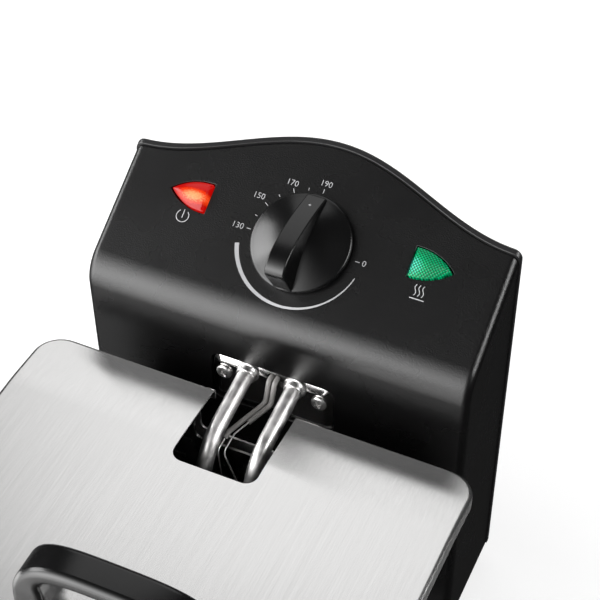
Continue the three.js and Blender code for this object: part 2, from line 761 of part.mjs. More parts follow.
function cordGland() {
  const neck = waveY(0) + GAP - 0.9;
  const profile = [
    [3.6, 227], [9, 227], [9, neck], [6, neck], [6, neck + 4.8], [9, neck + 4.8],
    [9, neck + 7.4], [6.6, GLAND_TIP_Y], [3.6, GLAND_TIP_Y], [3.6, 227],
  ];
  return turned(profile, 24).rotateX(-Math.PI / 2);
}

function buildHead() {
  const head = bodyGroup();
  addPiece(head, 'front_shell', frontShell(), 'textured_black');
  addPiece(head, 'rear_cover', rearCover(), 'textured_black');
  for (const { side, sign } of SIDES) {
    addPiece(head, `head_runner_${side}`, headRunner(), 'textured_black', sign * RAIL_X, HOUSING_BACK_Y, 0);
    for (const [level, z] of [['low', COVER_SCREW_Z[0]], ['high', COVER_SCREW_Z[1]]]) {
      const screw = panScrew(3.2, 1.8, 1.5, 16).rotateZ(Math.PI);
      const y = waveY(COVER_SCREW_X - 3.2) + COVER_THICKNESS + 2 * GAP;
      addPiece(head, `cover_screw_${level}_${side}`, screw, 'polished_steel', sign * COVER_SCREW_X, y, z);
    }
  }
  buildElement(head);

  addPiece(head, 'cord_gland', cordGland(), 'smooth_black', 0, 0, GLAND_Z);
  addPiece(head, 'terminal_block', block(...TERMINAL_BOX), 'terminal_plastic');
  addPiece(head, 'cutout_body', block(...CUTOUT_BOX), 'switch_plastic');
  addPiece(head, 'safety_switch', block(...SWITCH_BOX), 'switch_plastic');
  for (const [name, materialName, corners] of LEADS) {
    const line = new BentLine(corners, [LEAD_BEND], 4);
    addPiece(head, name, bentRod(line, LEAD_RADIUS, 8), materialName);
  }

  const panel = new THREE.Group();
  panel.position.set(0, KNOB_Y, KNOB_Z);
  panel.rotation.x = PANEL_SLOPE;
  head.add(panel);
  const half = THERMOSTAT_HALF;
  const thermostat = block(-half, half, -half, half, -THERMOSTAT_DEPTH, -HEAD_WALL - 1);
  addPiece(panel, 'thermostat_body', thermostat, 'switch_plastic');
  for (const [name, materialName, sign] of [['power', 'red_lens', -1], ['ready', 'green_lens', 1]]) {
    const face = slab(lensShape(0, sign), -HEAD_WALL - 1.5, 1.6, 8);
    const shoulder = slab(lensShape(1.5, sign), -HEAD_WALL - 2, -HEAD_WALL - GAP, 8);
    addPiece(panel, `${name}_lens`, join(face, shoulder), materialName);
    const lampU = sign * (LENS_INNER_U + 7);
    const lampV = (LENS_LOW_V + LENS_HIGH_V) / 2;
    const lamp = barZ(LAMP_RADIUS, -LAMP_DEPTH, -HEAD_WALL - 2.5, 14);
    addPiece(panel, `${name}_lamp`, lamp, 'lamp_glass', lampU, lampV, 0);
  }
  return panel;
}

// ---------------------------------------------------------------- parts that move on the head

function controlKnob() {
  const base = KNOB_CLEARANCE;
  const rise = KNOB_DOME - KNOB_SKIRT;
  const body = turned([
    [0, base], [KNOB_RADIUS, base], [KNOB_RADIUS, KNOB_SKIRT], [KNOB_RADIUS - 1, KNOB_SKIRT + 1],
    [KNOB_RADIUS * 0.75, KNOB_SKIRT + rise * 0.5], [KNOB_RADIUS * 0.4, KNOB_SKIRT + rise * 0.86], [0, KNOB_DOME],
  ], 40);
  const end = KNOB_RADIUS - 0.6;
  const side = new THREE.Shape();
  side.moveTo(-end, base + 1);
  side.lineTo(-end, KNOB_BAR_HEIGHT - 6);
  side.quadraticCurveTo(-end, KNOB_BAR_HEIGHT, -end + 8, KNOB_BAR_HEIGHT);
  side.quadraticCurveTo(-1, KNOB_BAR_HEIGHT - 1.2, end - 1, POINTER_HEIGHT);
  side.lineTo(end - 1, base + 1);
  const half = KNOB_BAR_WIDTH / 2;
  const top = KNOB_BAR_HEIGHT + 1;
  const bar = common(sideSlab(side, -half, half, 8), barZ(KNOB_RADIUS - 0.3, 0, top, 40));
  return cut(join(body, bar), barZ(SHAFT_RADIUS + GAP, -1, KNOB_DOME, 16));
}

function buildKnob() {
  const panel = new THREE.Group();
  panel.position.set(0, KNOB_Y, KNOB_Z);
  panel.rotation.x = PANEL_SLOPE;
  fryer.add(panel);
  addPiece(panel, 'control_knob', controlKnob(), 'smooth_black');
  addPiece(panel, 'thermostat_shaft', barZ(SHAFT_RADIUS, -HEAD_WALL - 0.7, KNOB_DOME - GAP, 16), 'brass');
}

function buildButtons() {
  const group = bodyGroup();
  const behind = waveY(0) + GAP + COVER_THICKNESS;
  const cap = barY(RESET_RADIUS, behind + 2.7 - RESET_DEPTH, behind + 2.7, 0, RESET_Z, 24);
  addPiece(group, 'reset_button', cap, 'reset_red');
  const plungerEnd = HEAD_FRONT_Y + 6.4;
  const plunger = barY(PLUNGER_RADIUS, PLUNGER_TIP_Y, plungerEnd, SWITCH_X, SWITCH_Z, 16);
  addPiece(group, 'switch_plunger', plunger, 'switch_plastic');
}

// ---------------------------------------------------------------- lid

function lidPanel() {
  const outline = (inset) => roundedRectangle(
    -LID_HALF_WIDTH + inset, LID_HALF_WIDTH - inset,
    LID_FRONT_Y + inset, LID_BACK_Y - inset,
    LID_RADIUS - inset,
  );
  const pan = cut(
    slab(outline(0), LID_TOP_Z - LID_SKIRT, LID_TOP_Z),
    slab(outline(LID_SHEET), LID_TOP_Z - LID_SKIRT - 1, LID_TOP_Z - LID_SHEET),
  );
  const rearNotch = roundedRectangle(
    -LID_NOTCH_HALF, LID_NOTCH_HALF,
    LID_BACK_Y - LID_NOTCH_DEPTH, LID_BACK_Y + 20,
    LID_NOTCH_RADIUS,
  );
  const frontNotch = roundedRectangle(
    -LID_FRONT_NOTCH_HALF, LID_FRONT_NOTCH_HALF,
    LID_FRONT_Y - 20, LID_FRONT_Y + LID_FRONT_NOTCH_DEPTH,
    LID_NOTCH_RADIUS,
  );
  const low = LID_TOP_Z - LID_SKIRT - 2;
  const high = LID_TOP_Z + 2;
  const holes = SIDES.map(({ sign }) => (
    barZ(2.3, low, high, 12).translate(sign * (LID_HANDLE_HALF - 8), LID_HANDLE_Y, 0)
  ));
  return cut(pan, slab(rearNotch, low, high), slab(frontNotch, low, high), ...holes);
}

// A strap handle across the lid on two posts.
function lidHandle() {
  const half = LID_HANDLE_HALF;
  const low = LID_TOP_Z + GAP;
  const high = LID_TOP_Z + LID_HANDLE_HEIGHT;
  const arch = new THREE.Shape();
  arch.moveTo(-half, low);
  arch.lineTo(-half + 2, high - 14);
  arch.quadraticCurveTo(-half + 6, high, -half + 20, high);
  arch.lineTo(half - 20, high);
  arch.quadraticCurveTo(half - 6, high, half - 2, high - 14);
  arch.lineTo(half, low);
  arch.lineTo(half - 16, low);
  arch.quadraticCurveTo(half - 18, high - 9, half - 28, high - 9);
  arch.lineTo(-half + 28, high - 9);
  arch.quadraticCurveTo(-half + 18, high - 9, -half + 16, low);
  const strap = frontSlab(arch, LID_HANDLE_Y - 10, LID_HANDLE_Y + 10, 6);
  const pilots = SIDES.map(({ sign }) => (
    barZ(1.8, LID_TOP_Z - 1, LID_TOP_Z + 13, 10).translate(sign * (half - 8), LID_HANDLE_Y, 0)
  ));
  return cut(strap, ...pilots);
}

function buildLid() {
  const group = bodyGroup();
  addPiece(group, 'lid_panel', lidPanel(), 'brushed_steel');
  addPiece(group, 'lid_handle', lidHandle(), 'smooth_black');
  for (const { side, sign } of SIDES) {
    const screw = panScrew(3.6, 1.6, 1.5, 12).rotateX(Math.PI / 2);
    const x = sign * (LID_HANDLE_HALF - 8);
    const z = LID_TOP_Z - LID_SHEET - GAP;
    addPiece(group, `lid_screw_${side}`, screw, 'polished_steel', x, LID_HANDLE_Y, z);
  }
}

// ---------------------------------------------------------------- basket

function basketOutline(inset) {
  return roundedRectangle(
    -BASKET_HALF_WIDTH + inset,
    BASKET_HALF_WIDTH - inset,
    BASKET_FRONT_Y + inset,
    BASKET_BACK_Y - inset,
    BASKET_RADIUS - inset,
  );
}

// Draws the floor of a tub in towards its middle.
function taper(geometry, z0, z1, scale) {
  const middleY = (BASKET_FRONT_Y + BASKET_BACK_Y) / 2;
  const position = geometry.attributes.position;
  for (let i = 0; i < position.count; i += 1) {
    const up = (position.getZ(i) - z0) / (z1 - z0);
    const k = scale + (1 - scale) * up;
    position.setXY(i, position.getX(i) * k, middleY + (position.getY(i) - middleY) * k);
  }
  return geometry;
}

function basketBracket() {
  const y1 = BASKET_FRONT_Y - RIM_WIDTH / 2 - GAP;
  const y0 = y1 - BRACKET_THICKNESS;
  const half = BRACKET_HALF_WIDTH;
  const tab = frontSlab(roundedRectangle(-half, half, BASKET_TOP_Z - 24, HANDLE_Z + 5, 4), y0, y1);
  const hanger = block(-16, 16, FLANGE_FRONT_Y + 2, y0 + 1, FLANGE_TOP_Z + GAP, FLANGE_TOP_Z + 2);
  const eyes = SIDES.map(({ sign }) => (
    barY(HANDLE_WIRE_RADIUS + GAP, y0 - 1, y1 + 1, sign * HANDLE_WIRE_X, HANDLE_Z, 14)
  ));
  return cut(join(tab, hanger), ...eyes);
}

function buildBasket() {
  const group = bodyGroup();
  const mesh = taper(
    tub(basketOutline, BASKET_BOTTOM_Z, BASKET_TOP_Z, BASKET_WALL),
    BASKET_BOTTOM_Z, BASKET_TOP_Z, BASKET_TAPER,
  );
  addPiece(group, 'frying_basket', mesh, 'wire_steel');
  const rimLow = BASKET_TOP_Z + GAP;
  const rim = cut(
    slab(basketOutline(-RIM_WIDTH / 2), rimLow, rimLow + RIM_HEIGHT),
    slab(basketOutline(RIM_WIDTH / 2), rimLow - 1, rimLow + RIM_HEIGHT + 1),
  );
  addPiece(group, 'basket_rim', rim, 'wire_steel');
  addPiece(group, 'basket_bracket', basketBracket(), 'polished_steel');
}

function buildHandle() {
  const group = bodyGroup();
  const endY = BASKET_FRONT_Y + 8;
  const crossY = GRIP_BACK_Y - 14;
  const line = new BentLine([
    [-HANDLE_WIRE_X, endY, HANDLE_Z],
    [-HANDLE_WIRE_X, crossY, HANDLE_Z],
    [HANDLE_WIRE_X, crossY, HANDLE_Z],
    [HANDLE_WIRE_X, endY, HANDLE_Z],
  ], [8], 5);
  addPiece(group, 'handle_wire', bentRod(line, HANDLE_WIRE_RADIUS, 10), 'wire_steel');
  const gripOutline = roundedRectangle(
    -GRIP_HALF_WIDTH, GRIP_HALF_WIDTH, HANDLE_TIP_Y, GRIP_BACK_Y, GRIP_RADIUS,
  );
  const pocket = block(
    -HANDLE_WIRE_X - HANDLE_WIRE_RADIUS - GAP, HANDLE_WIRE_X + HANDLE_WIRE_RADIUS + GAP,
    crossY - HANDLE_WIRE_RADIUS - GAP, GRIP_BACK_Y + 1,
    HANDLE_Z - HANDLE_WIRE_RADIUS - GAP, HANDLE_Z + HANDLE_WIRE_RADIUS + GAP,
  );
  const low = HANDLE_Z - GRIP_HALF_HEIGHT;
  const grip = cut(slab(gripOutline, low, low + 2 * GRIP_HALF_HEIGHT, 4), pocket);
  addPiece(group, 'handle_grip', grip, 'smooth_black');
}

// ---------------------------------------------------------------- assembly

buildHousing();
buildPot();
buildHead();
buildKnob();
buildButtons();
buildLid();
buildBasket();
buildHandle();

export default fryer;
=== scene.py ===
"""Looks of the deep fryer: fine meshes, finishes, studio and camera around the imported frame."""

import json
import math

import bmesh
import bpy
from mathutils import Matrix, Vector


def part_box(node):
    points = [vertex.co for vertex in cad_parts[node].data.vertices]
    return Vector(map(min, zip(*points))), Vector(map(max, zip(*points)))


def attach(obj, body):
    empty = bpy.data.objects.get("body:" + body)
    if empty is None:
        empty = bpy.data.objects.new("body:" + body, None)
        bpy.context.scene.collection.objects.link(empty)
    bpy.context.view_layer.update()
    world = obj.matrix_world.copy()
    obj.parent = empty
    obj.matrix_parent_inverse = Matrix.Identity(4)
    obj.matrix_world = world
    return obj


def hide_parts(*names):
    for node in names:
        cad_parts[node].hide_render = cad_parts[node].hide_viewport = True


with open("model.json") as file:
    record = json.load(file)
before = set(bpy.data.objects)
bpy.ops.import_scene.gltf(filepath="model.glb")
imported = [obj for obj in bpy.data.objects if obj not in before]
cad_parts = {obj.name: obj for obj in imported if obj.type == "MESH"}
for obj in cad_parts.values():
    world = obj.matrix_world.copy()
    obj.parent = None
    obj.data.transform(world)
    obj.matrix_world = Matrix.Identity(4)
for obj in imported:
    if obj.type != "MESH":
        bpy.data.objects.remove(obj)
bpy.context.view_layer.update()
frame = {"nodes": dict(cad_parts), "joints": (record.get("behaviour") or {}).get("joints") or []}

MM = 0.001                       # shapes are drawn in millimetres and scaled once when they are placed
SMOOTH_DEGREES = 32              # edges sharper than this stay crisp
CLEAR = 0.3                      # gap between neighbouring pieces


# ---------------------------------------------------------------- places from the frame

def span(node):
    """Lowest and highest corner of a CAD node, in millimetres."""
    low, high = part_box(node)
    return low / MM, high / MM


def centre_of(node):
    """Middle of a CAD node's box, in millimetres."""
    low, high = span(node)
    return (low + high) / 2


def joint(name):
    return next(j for j in frame["joints"] if j["name"] == name)


SHELL_LOW, SHELL_HIGH = span("front_shell")
COVER_LOW, COVER_HIGH = span("rear_cover")
LID_LOW, LID_HIGH = span("lid_panel")
PLATE_LOW, PLATE_HIGH = span("element_plate")
POT_LOW, POT_HIGH = span("oil_pot")
HOUSING_LOW, HOUSING_HIGH = span("outer_housing")
KNOB_AT = Vector(joint("knob_turn")["pos_m"]) / MM
PANEL_OUT = Vector(joint("knob_turn")["axis"]).normalized()
PANEL_UP = Vector((0, PANEL_OUT.z, -PANEL_OUT.y))
SLOPE = math.atan2(-PANEL_OUT.y, PANEL_OUT.z)
HEAD_HALF = SHELL_HIGH.x
HEAD_FRONT = SHELL_LOW.y
COVER_THICK = 3.0
COVER_PROUD = COVER_HIGH.x - SHELL_HIGH.x
BACK_EDGE = COVER_LOW.y - CLEAR
BACK_BULGE = COVER_HIGH.y - COVER_THICK - CLEAR - BACK_EDGE


def on_panel(u, v, w=0.0):
    """A point at u across, v up and w out from the knob's axis on the sloping panel."""
    return KNOB_AT + Vector((u, 0, 0)) + PANEL_UP * v + PANEL_OUT * w


PANEL_MATRIX = Matrix.Translation(KNOB_AT) @ Matrix.Rotation(SLOPE, 4, "X")


# ---------------------------------------------------------------- outlines

def arc_points(before, corner, after, radius, steps):
    """Points of the arc that rounds one corner."""
    into = (corner - before).normalized()
    out = (after - corner).normalized()
    turn = into.angle(out)
    if radius <= 0 or turn < 1e-4:
        return [corner]
    start = corner - into * radius * math.tan(turn / 2)
    inward = (out - into * out.dot(into)).normalized()
    centre = start + inward * radius
    points = []
    for k in range(steps + 1):
        angle = turn * k / steps
        points.append(centre - inward * radius * math.cos(angle) + into * radius * math.sin(angle))
    return points


def rounded(corners, radii, steps=8):
    """A closed outline with rounded corners; radii is one number or one for each corner."""
    corners = [Vector(c) for c in corners]
    count = len(corners)
    if not isinstance(radii, (list, tuple)):
        radii = [radii] * count
    outline = []
    for i, corner in enumerate(corners):
        outline += arc_points(corners[i - 1], corner, corners[(i + 1) % count], radii[i], steps)
    return outline


def bent(corners, radii, steps=8):
    """An open path of straight runs joined by arcs."""
    corners = [Vector(c) for c in corners]
    if not isinstance(radii, (list, tuple)):
        radii = [radii] * (len(corners) - 2)
    path = [corners[0]]
    for i in range(1, len(corners) - 1):
        path += arc_points(corners[i - 1], corners[i], corners[i + 1], radii[i - 1], steps)
    return path + [corners[-1]]


def rectangle(x0, x1, y0, y1):
    return [(x0, y0), (x1, y0), (x1, y1), (x0, y1)]


def circle(radius, sides, x=0.0, y=0.0):
    turns = [2 * math.pi * i / sides for i in range(sides)]
    return [(x + radius * math.cos(t), y + radius * math.sin(t)) for t in turns]


def quarter(steps, first=0):
    """Angles of a quarter turn."""
    return [math.pi / 2 * k / steps for k in range(first, steps + 1)]


# ---------------------------------------------------------------- meshes

AXES = {
    "x": lambda u, v, w: (w, u, v),
    "y": lambda u, v, w: (u, w, v),
    "z": lambda u, v, w: (u, v, w),
}


def skin(rings, cap_start=True, cap_end=True, joined=False):
    """A surface through rings of equal count."""
    bm = bmesh.new()
    rows = [[bm.verts.new(p) for p in ring] for ring in rings]
    count = len(rows[0])
    pairs = list(zip(rows, rows[1:]))
    if joined:
        pairs.append((rows[-1], rows[0]))
    for near, far in pairs:
        for i in range(count):
            j = (i + 1) % count
            bm.faces.new((near[i], near[j], far[j], far[i]))
    if cap_start and not joined:
        bm.faces.new(rows[0])
    if cap_end and not joined:
        bm.faces.new(rows[-1])
    bmesh.ops.recalc_face_normals(bm, faces=bm.faces)
    return bm


def prism(outline, axis, start, end):
    place = AXES[axis]
    return skin([[place(u, v, w) for u, v in outline] for w in (start, end)])


def box_mesh(x0, x1, y0, y1, z0, z1):
    return prism(rectangle(x0, x1, y0, y1), "z", z0, z1)


def lathe(profile, sides=48, ring=False):
    """A body of revolution about Z from (radius, z) pairs; the profile of a ring closes on itself."""
    rings = [[(x, y, z) for x, y in circle(r, sides)] for r, z in profile]
    if ring:
        return skin(rings, joined=True)
    bm = skin(rings, cap_start=profile[0][0] > 0, cap_end=profile[-1][0] > 0)
    bmesh.ops.remove_doubles(bm, verts=bm.verts, dist=1e-5)
    return bm


def tube(path, radius, sides=16, closed=False):
    """A round bar along a path."""
    path = [Vector(p) for p in path]
    count = len(path)
    side = None
    rings = []
    for i, point in enumerate(path):
        before = path[i - 1] if closed or i > 0 else point
        after = path[(i + 1) % count] if closed or i < count - 1 else point
        ahead = (after - before).normalized()
        if side is None:
            side = ahead.orthogonal()
        side = (side - ahead * side.dot(ahead)).normalized()
        other = ahead.cross(side)
        rings.append([point + (side * a + other * b) * radius for a, b in circle(1.0, sides)])
    return skin(rings, joined=closed)


def mesh_from(name, bm):
    """A mesh made from a bmesh, which is freed."""
    mesh = bpy.data.meshes.new(name)
    bm.to_mesh(mesh)
    bm.free()
    return mesh


def bmesh_from(mesh):
    """A bmesh made from a mesh, which is removed."""
    bm = bmesh.new()
    bm.from_mesh(mesh)
    bpy.data.meshes.remove(mesh)
    return bm


def linked(name, data):
    """A new object in the scene."""
    obj = bpy.data.objects.new(name, data)
    bpy.context.scene.collection.objects.link(obj)
    return obj


def merged(parts):
    """Several closed meshes in one."""
    whole = bmesh.new()
    for part in parts:
        mesh = mesh_from("part", part)
        whole.from_mesh(mesh)
        bpy.data.meshes.remove(mesh)
    return whole


def boolean(bm, cutters, operation="DIFFERENCE"):
    """Cuts, joins or intersects one mesh with others."""
    target, *tools = [linked("scratch", mesh_from("scratch", part)) for part in (bm, *cutters)]
    for tool in tools:
        modifier = target.modifiers.new("boolean", "BOOLEAN")
        modifier.object = tool
        modifier.operation = operation
        modifier.solver = "EXACT"
    evaluated = target.evaluated_get(bpy.context.evaluated_depsgraph_get())
    result = bmesh_from(bpy.data.meshes.new_from_object(evaluated))
    for obj in (target, *tools):
        data = obj.data
        bpy.data.objects.remove(obj)
        bpy.data.meshes.remove(data)
    bmesh.ops.remove_doubles(result, verts=result.verts, dist=1e-4)
    bmesh.ops.dissolve_degenerate(result, edges=result.edges, dist=1e-4)
    return result


def soften(bm, offset, segments=3, degrees=40, where=lambda p: True):
    """Rounds the edges that turn by more than an angle, where a test on both ends allows."""
    limit = math.radians(degrees)
    inner = [edge for edge in bm.edges if len(edge.link_faces) == 2]
    sharp = [edge for edge in inner if edge.calc_face_angle(0) >= limit]
    chosen = [edge for edge in sharp if all(where(v.co) for v in edge.verts)]
    bmesh.ops.bevel(
        bm, geom=chosen, offset=offset, segments=segments, profile=0.5,
        affect="EDGES", clamp_overlap=True,
    )
    return bm


def soft_block(node, radius):
    """A box as large as a CAD node, with rounded edges."""
    low, high = span(node)
    return soften(box_mesh(low.x, high.x, low.y, high.y, low.z, high.z), radius)


def bore(radius, x, z, start, end, sides=24):
    """A round cutter along Y."""
    return prism(circle(radius, sides, x, z), "y", start, end)


def moved(bm, matrix):
    bmesh.ops.transform(bm, matrix=matrix, verts=bm.verts)
    return bm


def shifted(bm, x=0.0, y=0.0, z=0.0):
    return moved(bm, Matrix.Translation((x, y, z)))


def laid(bm, x, y, z, turn=-math.pi / 2):
    """Lays a mesh drawn along Z down to run along +Y from a point, or along -Y with the other turn."""
    return moved(bm, Matrix.Translation((x, y, z)) @ Matrix.Rotation(turn, 4, "X"))


def add_piece(name, bm, body, finish, stands_for=(), degrees=SMOOTH_DEGREES):
    """Places a mesh drawn in millimetres as a piece of the fryer that rides on a CAD body."""
    moved(bm, Matrix.Scale(MM, 4))
    bmesh.ops.recalc_face_normals(bm, faces=bm.faces)
    mesh = mesh_from(name, bm)
    mesh.materials.append(finish)
    mesh.shade_smooth()
    mesh.set_sharp_from_angle(angle=math.radians(degrees))
    obj = linked(name, mesh)
    obj.modifiers.new("weighted_normals", "WEIGHTED_NORMAL").keep_sharp = True
    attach(obj, body)
    if stands_for:
        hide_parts(*stands_for)
    return obj


def turned_piece(name, profile, sides, body, finish, node, degrees=SMOOTH_DEGREES, ring=False):
    """A turned piece that takes a CAD node's place and runs along +Y from its front."""
    at = centre_of(node)
    bm = laid(lathe(profile, sides, ring), at.x, span(node)[0].y, at.z)
    add_piece(name, bm, body, finish, [node], degrees)


# ---------------------------------------------------------------- finishes

class Tree:
    """Short ways to add and link the nodes of one node tree."""

    def __init__(self, tree, place):
        self.nodes = tree.nodes
        self.links = tree.links
        self.place = self.nodes.new("ShaderNodeTexCoord").outputs[place]

    def add(self, kind, output, sockets, **settings):
        """Adds a node; another node's output is linked to its socket, any other value is set there."""
        node = self.nodes.new("ShaderNode" + kind)
        for key, value in settings.items():
            setattr(node, key, value)
        for key, value in sockets.items():
            if isinstance(value, bpy.types.NodeSocket):
                self.links.new(value, node.inputs[key])
            else:
                node.inputs[key].default_value = value
        return node.outputs[output]

    def calc(self, operation, first, second=0.0):
        return self.add("Math", "Value", {0: first, 1: second}, operation=operation)

    def dot(self, source, direction):
        return self.add("VectorMath", "Value", {0: source, 1: direction}, operation="DOT_PRODUCT")

    def noise(self, scale, stretch=(1, 1, 1), detail=3.0, roughness=0.6):
        stretched = self.add("Mapping", "Vector", {"Vector": self.place, "Scale": stretch})
        sockets = {"Vector": stretched, "Scale": scale, "Detail": detail, "Roughness": roughness}
        return self.add("TexNoise", "Fac", sockets)

    def spread(self, source, low, high, start=0.35, end=0.65, **settings):
        """Maps a pattern's middle range to low..high."""
        ends = {"From Min": start, "From Max": end, "To Min": low, "To Max": high}
        return self.add("MapRange", "Result", {"Value": source, **ends}, **settings)


class Finish(Tree):
    """A material around one Principled shader, with patterns in object coordinates."""

    def __init__(self, name, color, roughness, **sockets):
        self.material = bpy.data.materials.new(name)
        self.material.use_nodes = True
        super().__init__(self.material.node_tree, "Object")
        self.shader = self.nodes["Principled BSDF"].inputs
        self.color = tuple(color)
        self.set(Base_Color=(*color, 1), Roughness=roughness, **sockets)

    def set(self, **sockets):
        for key, value in sockets.items():
            self.shader[key.replace("_", " ")].default_value = value

    def feed(self, socket, source):
        self.links.new(source, self.shader[socket])

    def vary_roughness(self, source, low, high):
        self.feed("Roughness", self.spread(source, low, high))

    def vary_color(self, source, shade):
        """Lets a pattern darken the colour to a share of itself."""
        other = (*(c * shade for c in self.color), 1)
        sockets = {"Factor": self.spread(source, 0.0, 1.0), "A": (*self.color, 1), "B": other}
        self.feed("Base Color", self.add("Mix", "Result", sockets, data_type="RGBA"))

    def bump(self, source, distance, strength=1.0):
        sockets = {"Strength": strength, "Distance": distance, "Height": source}
        self.feed("Normal", self.add("Bump", "Normal", sockets))


def moulded(name, color, roughness, grain, depth):
    """Moulded plastic: a fine grain, slow changes of gloss and a faint change of tone."""
    finish = Finish(name, color, roughness)
    finish.bump(finish.noise(grain, detail=2.0), depth)
    finish.vary_roughness(finish.noise(18, detail=4.0), roughness - 0.02, roughness + 0.03)
    finish.vary_color(finish.noise(30, detail=5.0), 0.86)
    return finish.material


def brushed(name, color, roughness, along, metallic=1.0):
    """Brushed steel: fine streaks along one axis that blur reflections across them."""
    finish = Finish(name, color, roughness, Metallic=metallic, Anisotropic=0.9)
    finish.feed("Tangent", finish.add("Tangent", "Tangent", {}, direction_type="UV_MAP", uv_map="brush"))
    stretch = [30.0 if axis == along else 3000.0 for axis in "xyz"]
    streaks = finish.noise(1.0, stretch, detail=3.0, roughness=0.7)
    finish.bump(streaks, 0.00001, 0.03)
    finish.vary_roughness(streaks, roughness - 0.02, roughness + 0.02)
    finish.vary_color(finish.noise(1.0, [s * 0.35 for s in stretch], detail=2.0), 0.97)
    return finish.material


def drawn_metal(name, color, roughness, mottle=60):
    """Drawn tube, wire or pressed metal: soft mottling and hairline wear."""
    finish = Finish(name, color, roughness, Metallic=1.0)
    finish.bump(finish.noise(900, detail=3.0), 0.00001, 0.3)
    finish.vary_roughness(finish.noise(mottle, detail=5.0), roughness * 0.75, roughness * 1.35)
    finish.vary_color(finish.noise(mottle * 0.6, detail=4.0), 0.86)
    return finish.material


TEXTURED_BLACK = moulded("textured_black", (0.0022, 0.0021, 0.0022), 0.27, 1700, 0.00012)
# The rear cover's black is five times lighter than the shell's textured black: a painted sheen that stands
# in for the reflection its rim band catches.
COVER_BLACK_PAINTED_SHEEN = moulded("cover_black_painted_sheen", (0.011, 0.0108, 0.0112), 0.3, 1700, 0.00008)
SMOOTH_BLACK = moulded("smooth_black", (0.003, 0.003, 0.0031), 0.22, 3400, 0.00001)
LID_STEEL = brushed("lid_steel", (0.83, 0.825, 0.82), 0.24, "y")
HOUSING_STEEL = brushed("housing_steel", (0.6, 0.595, 0.59), 0.3, "z", 0.78)
POT_STEEL = drawn_metal("pot_steel", (0.46, 0.455, 0.45), 0.26, 40)
SCREW_STEEL = drawn_metal("screw_steel", (0.86, 0.85, 0.84), 0.34, 400)
POLISHED_STEEL = drawn_metal("polished_steel", (0.8, 0.79, 0.78), 0.08, 80)
TUBE_STEEL = drawn_metal("tube_steel", (0.86, 0.85, 0.84), 0.4, 200)
PLATE_STEEL = drawn_metal("plate_steel", (0.8, 0.79, 0.78), 0.06, 50)
BULB_STEEL = drawn_metal("bulb_steel", (0.68, 0.64, 0.58), 0.2, 90)
WIRE_STEEL = drawn_metal("wire_steel", (0.72, 0.715, 0.7), 0.16, 120)
RUBBER = moulded("rubber", (0.02, 0.02, 0.02), 0.7, 1800, 0.00005)
SILICONE = moulded("silicone", (0.3, 0.29, 0.28), 0.4, 1500, 0.00002)
PRINT = moulded("print", (0.42, 0.42, 0.43), 0.5, 2500, 0.00001)
PHENOLIC = moulded("phenolic", (0.045, 0.045, 0.042), 0.45, 1600, 0.00004)
NYLON = moulded("nylon", (0.7, 0.66, 0.56), 0.45, 1400, 0.00003)
BRASS = drawn_metal("brass", (0.62, 0.43, 0.17), 0.25, 70)
LEAD_BROWN = moulded("lead_brown", (0.11, 0.04, 0.018), 0.4, 1500, 0.00001)
LEAD_BLUE = moulded("lead_blue", (0.025, 0.07, 0.3), 0.4, 1500, 0.00001)
LEAD_EARTH = moulded("lead_earth", (0.19, 0.38, 0.05), 0.4, 1500, 0.00001)
RESET_RED = moulded("reset_red", (0.4, 0.018, 0.01), 0.35, 1500, 0.00001)


PRISM_PITCH = 1.15               # width of the small pyramids in the green lens


def lens_finish(name, rim, middle, hot, centre, reach, pitch=0.0):
    """Tinted plastic lit from behind: the colour runs from a hot spot to the middle and the rim."""
    finish = Finish(name, tuple(c * 0.3 for c in rim), 0.2, IOR=1.3, Emission_Strength=1.0)
    sockets = {0: finish.place, 1: on_panel(*centre) * MM}
    offset = finish.add("VectorMath", "Vector", sockets, operation="SUBTRACT")
    squares = []
    for direction, width in ((Vector((1, 0, 0)), reach[0]), (PANEL_UP, reach[1])):
        away = finish.calc("ABSOLUTE", finish.dot(offset, direction / (width * MM)))
        squares.append(finish.calc("POWER", away, 2))
    ripple = finish.spread(finish.noise(1500, detail=2.0), -0.14, 0.14)
    away = finish.calc("ADD", finish.calc("ADD", *squares), ripple)
    glow = finish.add("ValToRGB", "Color", {"Fac": away})
    ramp = glow.node.color_ramp.elements
    ramp.new(0.45)
    for stop, color in zip(ramp, (hot, middle, rim)):
        stop.color = (*color, 1)
    if pitch:
        for sign in (-1, 1):
            glow = grooved(finish, glow, Vector((1, 0, 0)) + PANEL_UP * sign, pitch)
    finish.feed("Emission Color", glow)
    return finish.material


def grooved(finish, glow, direction, pitch):
    """Darkens a colour in even grooves across one direction of the panel."""
    direction = direction.normalized() / (pitch * MM)
    place = finish.calc("SUBTRACT", finish.dot(finish.place, direction), KNOB_AT.dot(direction) * MM)
    place = finish.calc("SUBTRACT", finish.calc("FRACT", place), 0.5)
    shade = finish.spread(finish.calc("ABSOLUTE", place), 0.1, 1.15, 0.05, 0.4)
    sockets = {"Factor": 1, "A": glow, "B": shade}
    return finish.add("Mix", "Result", sockets, data_type="RGBA", blend_type="MULTIPLY")


RED_LENS = lens_finish(
    "red_lens", (0.42, 0.002, 0.001), (0.86, 0.06, 0.008), (0.92, 0.5, 0.2),
    (-58.5, 6.8, 3.0), (9.5, 4.0),
)
GREEN_LENS = lens_finish(
    "green_lens", (0.0, 0.3, 0.11), (0.0, 0.52, 0.19), (0.12, 0.9, 0.7),
    (53.0, 6.0, 2.0), (8.0, 7.0), PRISM_PITCH,
)
LAMP_GLASS = moulded("lamp_glass", (0.75, 0.72, 0.66), 0.12, 1200, 0.00001)


# ---------------------------------------------------------------- control head: shells

SIDE_RADIUS = 4.0                # rounding between the side walls and the front and panel
BEND_RADIUS = 19.0               # between the front face and the panel
WALL = 2.5
RIM_RADIUS = 0.5
FAR = BACK_EDGE + BACK_BULGE + 30


